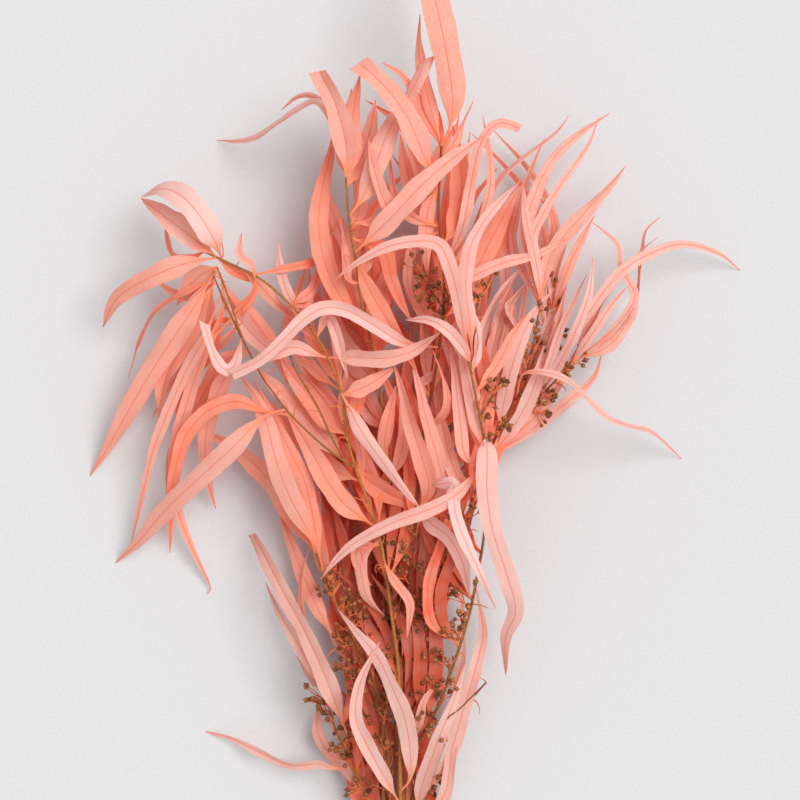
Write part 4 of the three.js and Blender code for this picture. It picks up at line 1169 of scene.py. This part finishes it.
# Place along a bud and radius there, both as parts of its own size: closed with a pointed cap, or open.
CLOSED_BUD = rows("-0.5,0.14 -0.38,0.34 -0.2,0.68 -0.06,0.94 0.02,1 0.06,0.88 0.12,0.76 0.24,0.46 "
                  "0.38,0.2 0.54,0.06")
OPEN_BUD = rows("-0.5,0.18 -0.38,0.42 -0.22,0.76 -0.04,0.95 0.1,1 0.18,0.92 0.16,0.62 0.12,0.45 "
                "0.2,0.3 0.3,0.12")
OPEN_SHARE = 0.22
BUD_SIDES = 9
BUD_RIBS = 4
BUD_RIB_HEIGHT = 0.06
BUD_FOOT = 0.47
LOWEST_BUD = BUD_RADIUS + 1
HUB_PART = (0.3, 0.45)  # of the way to the first bud, where the stalks part
FIRST_SIZE = (0.85, 1.02)
SIBLINGS = (1, 3)
SIBLING_SPREAD = (22, 62)  # degrees away from the first bud
SIBLING_LOOSE = 0.4  # radians off even places round it
SIBLING_REACH = (0.8, 1.15)
SIBLING_SIZE = (0.62, 0.98)
SAG = 0.1
STALK_ROWS = 6


def bud(surface, at, along, size, draw):
    """A woody bud, ribbed a little, pointing along its stalk. Gives back its foot."""
    side = unit(np.cross(along, UP))
    normal = np.cross(side, along)
    profile = np.array(OPEN_BUD if draw() < OPEN_SHARE else CLOSED_BUD)
    lengths, radii = profile[:, :1], profile[:, 1:]
    angles = np.arange(BUD_SIDES) / BUD_SIDES * math.tau
    ribbed = 1 + BUD_RIB_HEIGHT * np.cos(angles * BUD_RIBS + draw() * 6)
    circle = side * (np.cos(angles) * ribbed)[:, None] + normal * (np.sin(angles) * ribbed)[:, None]
    axis = at + along * (lengths * BUD_LENGTH * size)
    corners = axis[:, None] + circle * (radii * BUD_RADIUS * size)[..., None]
    kinds = notes(draw(), lengths, 0 * angles)
    spots = notes(angles, lengths * BUD_LENGTH, draw() * 100)
    surface.add(corners, capped_faces(len(profile), BUD_SIDES), kinds, spots)
    return at - along * BUD_LENGTH * BUD_FOOT * size


def stalk(surface, start, end, radius, draw):
    sag = unit(scatter(draw)) * np.linalg.norm(end - start) * SAG
    points = Curve([start, (start + end) / 2 + sag, end]).at(np.linspace(0, 1, STALK_ROWS))
    tube(surface, points, radius * np.linspace(1.1, 0.9, STALK_ROWS), STALK_SIDES, STALK_TONE, draw())


def umbel(wood, fruit, root, at, name):
    """A few buds on stalks that part from one point, the first where the solid model has it."""
    draw = stream(name)
    along = unit(at - root)
    hub = root + (at - root) * mix(*HUB_PART, draw())
    stalk(wood, root, hub, STALK_RADIUS * 1.2, draw)
    foot = bud(fruit, at, along, mix(*FIRST_SIZE, draw()), draw)
    stalk(wood, hub, foot, STALK_RADIUS, draw)
    around = draw() * math.tau
    count = round(mix(*SIBLINGS, draw()))
    across = unit(np.cross(along, UP))
    over = np.cross(across, along)
    for number in range(count):
        spread = math.radians(mix(*SIBLING_SPREAD, draw()))
        turn = around + number / count * math.tau + mix(-SIBLING_LOOSE, SIBLING_LOOSE, draw())
        out = across * math.cos(turn) + over * math.sin(turn)
        way = along * math.cos(spread) + out * math.sin(spread)
        centre = hub + way * np.linalg.norm(at - hub) * mix(*SIBLING_REACH, draw())
        centre[2] = max(centre[2], LOWEST_BUD)
        foot = bud(fruit, centre, unit(centre - hub), mix(*SIBLING_SIZE, draw()), draw)
        stalk(wood, hub, foot, STALK_RADIUS * 0.9, draw)


def bud_place(paths, spot, tree):
    """Where the root of a bud's stalk and the bud are: at the solid model's height if it has that bud."""
    point, path, at = nearest_on(paths, place(*spot, SEEK_HEIGHT))
    back = STALK_BACK / np.linalg.norm(path[0] - path[1])
    root = point_along(path, max(at - back, 0.1))
    for lift in BUD_LIFTS:
        centre = place(*spot, max(point[2] + BUD_RISE + lift, LOWEST_BUD))
        tip = centre + unit(centre - root) * BUD_LENGTH * 0.5
        if tree.find(tip)[2] < BUD_POINT * 1.5:
            return root, centre
    return root, place(*spot, max(point[2] + BUD_RISE, LOWEST_BUD))


def grow_buds(wood, fruit, stem, paths, bare, tree):
    """The solid model's buds on a stem and its twigs, then more of them, also on the bare twigs."""
    solid = rows(BUDS[stem])
    for number, spot in enumerate([*solid, *rows(MORE_BUDS[stem])]):
        root, centre = bud_place(paths if number < len(solid) else paths + bare, spot, tree)
        umbel(wood, fruit, root, centre, f"{stem}_bud_{number}")


# --- The rubber band ---

BAND_TURNS = 3
BAND_STRIP = 2.0  # width and thickness of the rubber
BAND_FINE = 0.7
BAND_WEAVE = 0.38
BAND_STEPS = 180
BAND_CORNER = 5  # a higher power makes the corners of its outline sharper
BAND_MARGIN = 0.1
BAND_LOOK_AHEAD = 0.01  # radians, to find the way along the band
BAND_GRAIN = 0.4  # length of a step in the material's pattern
BAND_SECTION = np.array(rows("-1,-0.6 -0.8,-1 0.8,-1 1,-0.6 1,0.6 0.8,1 -0.8,1 -1,0.6"))


def band_place(angle, deep):
    """A place on a rounded rectangle round the stems, in the direction of an angle from its middle."""
    direction = np.array([math.cos(angle), math.sin(angle)])
    halves = [BAND_HALF_WIDTH + deep, (BAND_HIGH - BAND_LOW) / 2 + deep]
    reach = ((np.abs(direction) / halves) ** BAND_CORNER).sum() ** (-1 / BAND_CORNER)
    return np.array([0, (BAND_LOW + BAND_HIGH) / 2]) + direction * reach


def rubber_band(surface):
    """One closed loop of flat rubber, wound three times round the stems and back across itself."""
    spread = (BAND_WIDTH - BAND_STRIP) / 2 - BAND_MARGIN
    count = BAND_STEPS * BAND_TURNS
    centres, outs = [], []
    for step in range(count):
        turn = step / count * math.tau
        deep = BAND_THICKNESS / 2 + BAND_WEAVE * math.sin(turn)
        flat = band_place(turn * BAND_TURNS, deep)
        tangent = unit(band_place(turn * BAND_TURNS + BAND_LOOK_AHEAD, deep) - flat)
        centres.append([flat[0], BAND_Y + spread * math.cos(turn), flat[1]])
        outs.append([tangent[1], 0, -tangent[0]])
    centres, outs = np.array(centres)[:, None], np.array(outs)[:, None]
    wide, high = BAND_SECTION[:, :1], BAND_SECTION[:, 1:]
    corners = centres + wide * [0, BAND_STRIP / 2, 0] + high * outs * BAND_FINE / 2
    spots = notes(wide[:, 0], np.arange(count)[:, None] * BAND_GRAIN, 0.0)
    surface.add(corners, ring_faces(count, len(BAND_SECTION), closed=True), spots * 0, spots)


# --- Materials ---


def colour(red, green, blue):
    """A colour as it shows, from 0 to 255, as the linear colour that a shader takes."""
    return (*(((part / 255 + 0.055) / 1.055) ** 2.4 for part in (red, green, blue)), 1.0)


LEAF_THINNESS = 0.6
# Painted shade: a dark red-brown for hidden leaves at the bottom of the bunch.
LEAF_PAINTED_SHADE_DARK = colour(156, 58, 30)
# Painted shade: a deeper orange for leaves inside the bunch, for the dim light that reaches them there.
LEAF_PAINTED_SHADE_ORANGE = colour(255, 112, 63)
LEAF_DEEP = colour(255, 166, 121)
LEAF_LIGHT = colour(228, 234, 228)
LEAF_PALE = colour(237, 243, 243)
LEAF_BLUSH = colour(231, 210, 199)
LEAF_GRAIN = colour(235, 195, 174)
LEAF_VEIN = colour(240, 150, 118)
# The rib's own deeper pink, made strong enough to stand for the shade along the raised rib as well: partly
# painted shade.
LEAF_RIB_AND_SHADE = colour(224, 114, 80)
LEAF_BASE = colour(244, 176, 122)
LEAF_GLOW = colour(255, 132, 72)
FIBRE_STRETCH = (2.4, 0.16, 1.0)
BARK_OLIVE = colour(162, 112, 50)
BARK_RED = colour(124, 61, 34)
BARK_DARK = colour(84, 42, 22)
BARK_STALK = colour(194, 100, 58)
BUD_DARK = colour(102, 53, 28)
BUD_LIGHT = colour(180, 111, 58)
BUD_SHADE = colour(74, 37, 20)
BUD_RIM = colour(64, 33, 19)
RUBBER_LIGHT = colour(206, 164, 108)
RUBBER_DARK = colour(176, 132, 80)
PLASTER_LOW = colour(177, 178, 180)
PLASTER_HIGH = colour(183, 184, 186)


class Shader:
    """A material's nodes, made one call each. Each call gives back an output."""

    def __init__(self, name):
        self.material = bpy.data.materials.new(name)
        self.material.use_nodes = True
        self.tree = self.material.node_tree
        self.tree.nodes.clear()

    def node(self, kind, inputs, **settings):
        made = self.tree.nodes.new(kind)
        for name, value in settings.items():
            setattr(made, name, value)
        for name, value in inputs.items():
            if isinstance(value, bpy.types.NodeSocket):
                self.tree.links.new(value, made.inputs[name])
            else:
                made.inputs[name].default_value = value
        return made.outputs

    def math(self, operation, first, second=0.0):
        return self.node("ShaderNodeMath", {0: first, 1: second}, operation=operation)[0]

    def total(self, first, first_share, second, second_share):
        return self.math("ADD", self.math("MULTIPLY", first, first_share),
                         self.math("MULTIPLY", second, second_share))

    def steps(self, value, low, high, at_low=0.0, at_high=1.0):
        inputs = {0: value, 1: low, 2: high, 3: at_low, 4: at_high}
        return self.node("ShaderNodeMapRange", inputs, interpolation_type="SMOOTHSTEP")[0]

    def blend(self, part, first, second):
        return self.node("ShaderNodeMix", {0: part, 6: first, 7: second}, data_type="RGBA")[2]

    def tint(self, paint, tint, value, low, high, at_low, at_high):
        """A tint over the paint: its share is at_low where the value is low, and at_high where high."""
        return self.blend(self.steps(value, low, high, at_low, at_high), paint, tint)

    def note(self, name):
        """One of a surface's notes, as a vector and as its three parts."""
        vector = self.node("ShaderNodeAttribute", {}, attribute_name=name)["Vector"]
        return vector, self.node("ShaderNodeSeparateXYZ", {0: vector})

    def noise(self, vector, scale, detail, rough):
        inputs = {"Vector": vector, "Scale": scale, "Detail": detail, "Roughness": rough}
        return self.node("ShaderNodeTexNoise", inputs)[0]

    def bump(self, height, strength, depth):
        return self.node("ShaderNodeBump", {"Strength": strength, "Distance": depth, "Height": height})[0]

    def skin(self, paint, rough, gloss, bump):
        inputs = {"Base Color": paint, "Roughness": rough, "Specular IOR Level": gloss, "Normal": bump}
        return self.node("ShaderNodeBsdfPrincipled", inputs)[0]

    def close(self, shader):
        self.node("ShaderNodeOutputMaterial", {"Surface": shader})
        return self.material


def leaf_material():
    shade = Shader("dyed_leaf")
    _, (_, part, tone) = shade.note("kind")
    spot, (wide, along, _) = shade.note("spot")
    drawn = shade.node("ShaderNodeVectorMath", {0: spot, 1: FIBRE_STRETCH}, operation="MULTIPLY")[0]
    mottle = shade.noise(spot, 0.07, 3.0, 0.55)
    fibre = shade.noise(drawn, 1.0, 4.0, 0.65)
    grain = shade.noise(spot, 1.3, 3.0, 0.6)
    from_rib = shade.math("ABSOLUTE", wide)
    slanted = shade.total(along, 2.2, from_rib, -1.3 * 2.2)
    veins = shade.math("SINE", shade.total(slanted, 1.0, grain, 5.0))

    paint = shade.blend(tone, LEAF_DEEP, LEAF_LIGHT)
    # Painted shade: leaves with a tone below 0 turn a deeper orange. These include the hidden ones low in
    # the bunch.
    paint = shade.tint(paint, LEAF_PAINTED_SHADE_ORANGE, tone, -1.0, 0.1, 1.0, 0.0)
    paint = shade.tint(paint, LEAF_BLUSH, mottle, 0.35, 0.7, 0.0, 0.6)
    paint = shade.tint(paint, LEAF_GRAIN, fibre, 0.35, 0.7, 0.0, 0.6)
    paint = shade.tint(paint, LEAF_VEIN, grain, 0.35, 0.7, 0.0, 0.4)
    # Painted shade: the lowest tones, on hidden leaves at the bottom of the bunch, darken to red-brown.
    paint = shade.tint(paint, LEAF_PAINTED_SHADE_DARK, tone, -1.9, -0.5, 0.62, 0.0)
    paint = shade.tint(paint, LEAF_PALE, tone, 1.0, 2.0, 0.0, 0.85)
    paint = shade.tint(paint, LEAF_VEIN, veins, 0.6, 1.0, 0.0, 0.08)
    # Partly painted shade: the rib's deeper colour, darkened to show the shade along its raised ridge.
    paint = shade.tint(paint, LEAF_RIB_AND_SHADE, from_rib, 0.14, 0.55, 0.6, 0.0)
    paint = shade.tint(paint, LEAF_BASE, part, 0.05, 0.24, 0.7, 0.0)

    bump = shade.bump(shade.total(fibre, 0.6, grain, 0.4), 0.6, 0.0005)
    skin = shade.skin(paint, shade.steps(fibre, 0.2, 0.8, 0.55, 0.75), 0.25, bump)
    through = shade.blend(0.66, paint, LEAF_GLOW)
    glow = shade.node("ShaderNodeBsdfTranslucent", {"Color": through, "Normal": bump})[0]
    return shade.close(shade.node("ShaderNodeMixShader", {0: LEAF_THINNESS, 1: skin, 2: glow})[0])


def bark_material():
    shade = Shader("bark")
    _, (tone, _, _) = shade.note("kind")
    streak = shade.noise(shade.note("spot")[0], 0.8, 4.0, 0.6)
    paint = shade.blend(shade.steps(tone, 0.0, 1.0), BARK_OLIVE, BARK_RED)
    paint = shade.tint(paint, BARK_DARK, streak, 0.35, 0.7, 0.0, 0.55)
    paint = shade.tint(paint, BARK_STALK, tone, 1.2, 1.9, 0.0, 1.0)
    rough = shade.steps(streak, 0.2, 0.8, 0.55, 0.8)
    return shade.close(shade.skin(paint, rough, 0.3, shade.bump(streak, 0.5, 0.0004)))


def bud_material():
    shade = Shader("woody_bud")
    _, (tone, part, _) = shade.note("kind")
    speckle = shade.noise(shade.note("spot")[0], 1.1, 4.0, 0.65)
    from_rim = shade.math("ABSOLUTE", shade.math("ADD", part, -0.03))
    paint = shade.blend(tone, BUD_DARK, BUD_LIGHT)
    paint = shade.tint(paint, BUD_SHADE, speckle, 0.4, 0.66, 0.0, 0.75)
    paint = shade.tint(paint, BUD_RIM, from_rim, 0.02, 0.07, 0.7, 0.0)
    rough = shade.steps(speckle, 0.2, 0.8, 0.5, 0.75)
    return shade.close(shade.skin(paint, rough, 0.3, shade.bump(speckle, 0.6, 0.0004)))


def rubber_material():
    shade = Shader("natural_rubber")
    fine = shade.noise(shade.note("spot")[0], 1.4, 4.0, 0.6)
    paint = shade.tint(RUBBER_LIGHT, RUBBER_DARK, fine, 0.35, 0.7, 0.0, 0.5)
    rough = shade.steps(fine, 0.2, 0.8, 0.45, 0.65)
    return shade.close(shade.skin(paint, rough, 0.45, shade.bump(fine, 0.3, 0.0002)))


def plaster_material():
    shade = Shader("pale_plaster")
    spot = shade.node("ShaderNodeTexCoord", {})["Object"]
    coarse = shade.noise(spot, 620.0, 4.0, 0.6)
    fine = shade.noise(spot, 1500.0, 3.0, 0.6)
    paint = shade.blend(shade.steps(coarse, 0.3, 0.7), PLASTER_LOW, PLASTER_HIGH)
    bump = shade.bump(shade.total(coarse, 0.8, fine, 0.4), 0.35, 0.0006)
    return shade.close(shade.skin(paint, 0.85, 0.2, bump))


# --- The bunch ---


def stem_leaves(stem, paths, tree):
    """All leaves of a stem, each with its middle line."""
    for number, row in enumerate(LEAVES[stem], 1):
        leaf = placed_leaf(f"{stem}{number}", row)
        settle(paths, leaf, tree)
        yield leaf
    for number in range(FILLING[stem][0]):
        leaf = filling_leaf(stem, number, paths[0])
        settle(paths, leaf, tree)
        yield from ribbons(leaf)
    for row in SLIM[stem]:
        for number in range(row[0]):
            yield slim_leaf(stem, row, number, paths[0])
    for number, row in enumerate(MORE_LEAVES.get(stem, [])):
        leaf = placed_leaf(f"{stem}_more_{number}", row)
        leaf.curve = own_line(paths, leaf)
        yield leaf


def leafy_stem(stem, materials):
    """One of the solid model's stems as finer pieces: bark, leaves and buds."""
    node = f"leafy_stem_{stem}"
    tree = corner_tree(node)
    wood, foliage, fruit = Surface(), Surface(), Surface()
    paths = grow_stem(wood, stem)
    tendrils(wood, stem, paths)
    for leaf in stem_leaves(stem, paths, tree):
        blade(foliage, leaf)
    bare = bare_twigs(wood, stem, paths)
    grow_buds(wood, fruit, stem, paths, bare, tree)
    wood.piece(f"stem_{stem}", materials["stem"], "stem", node)
    foliage.piece(f"leaves_{stem}", materials["leaf"], "leaf", node)
    if fruit.count:
        fruit.piece(f"buds_{stem}", materials["bud"], "bud", node)


def bunch():
    materials = {"leaf": leaf_material(), "stem": bark_material(), "bud": bud_material()}
    for stem in STEMS:
        leafy_stem(stem, materials)
    band = Surface()
    rubber_band(band)
    band.piece("wound_rubber_band", rubber_material(), "rubber", "rubber_band")


# --- Surface, light and camera ---

VIEW_WIDTH = 560  # of the surface, across the photograph
SENSOR = 36
SUN_FROM = (0.45, 0.25, 1.0)
SUN_STRENGTH = 3.3
SUN_ANGLE = 36
SUN_COLOUR = (1.0, 0.97, 0.95)
ROOM_STRENGTH = 0.85
ROOM_COLOUR = (1.0, 0.99, 0.985, 1.0)


def surface_below():
    bpy.ops.mesh.primitive_plane_add(size=40)
    floor = bpy.context.object
    floor.name = "plaster_surface"
    floor.data.materials.append(plaster_material())


def window():
    """A broad, soft light from the right."""
    sun = bpy.data.lights.new("window", "SUN")
    sun.energy = SUN_STRENGTH
    sun.angle = math.radians(SUN_ANGLE)
    sun.color = SUN_COLOUR
    lamp = bpy.data.objects.new("window", sun)
    x, y, z = SUN_FROM
    lamp.rotation_euler = (math.atan2(math.hypot(x, y), z), 0, math.atan2(x, -y))
    bpy.context.scene.collection.objects.link(lamp)


def room():
    world = bpy.data.worlds.new("room")
    world.use_nodes = True
    background = world.node_tree.nodes["Background"]
    background.inputs[0].default_value = ROOM_COLOUR
    background.inputs[1].default_value = ROOM_STRENGTH
    bpy.context.scene.world = world
    bpy.context.scene.view_settings.view_transform = "Standard"


def camera():
    data = bpy.data.cameras.new("camera")
    data.sensor_width = SENSOR
    data.lens = SENSOR * EYE_HEIGHT / VIEW_WIDTH
    made = bpy.data.objects.new("camera", data)
    made.location = (np.array([0, EYE_Y, EYE_HEIGHT]) + SHIFT) * MM
    bpy.context.scene.collection.objects.link(made)
    bpy.context.scene.camera = made


camera()
surface_below()
window()
room()
bunch()
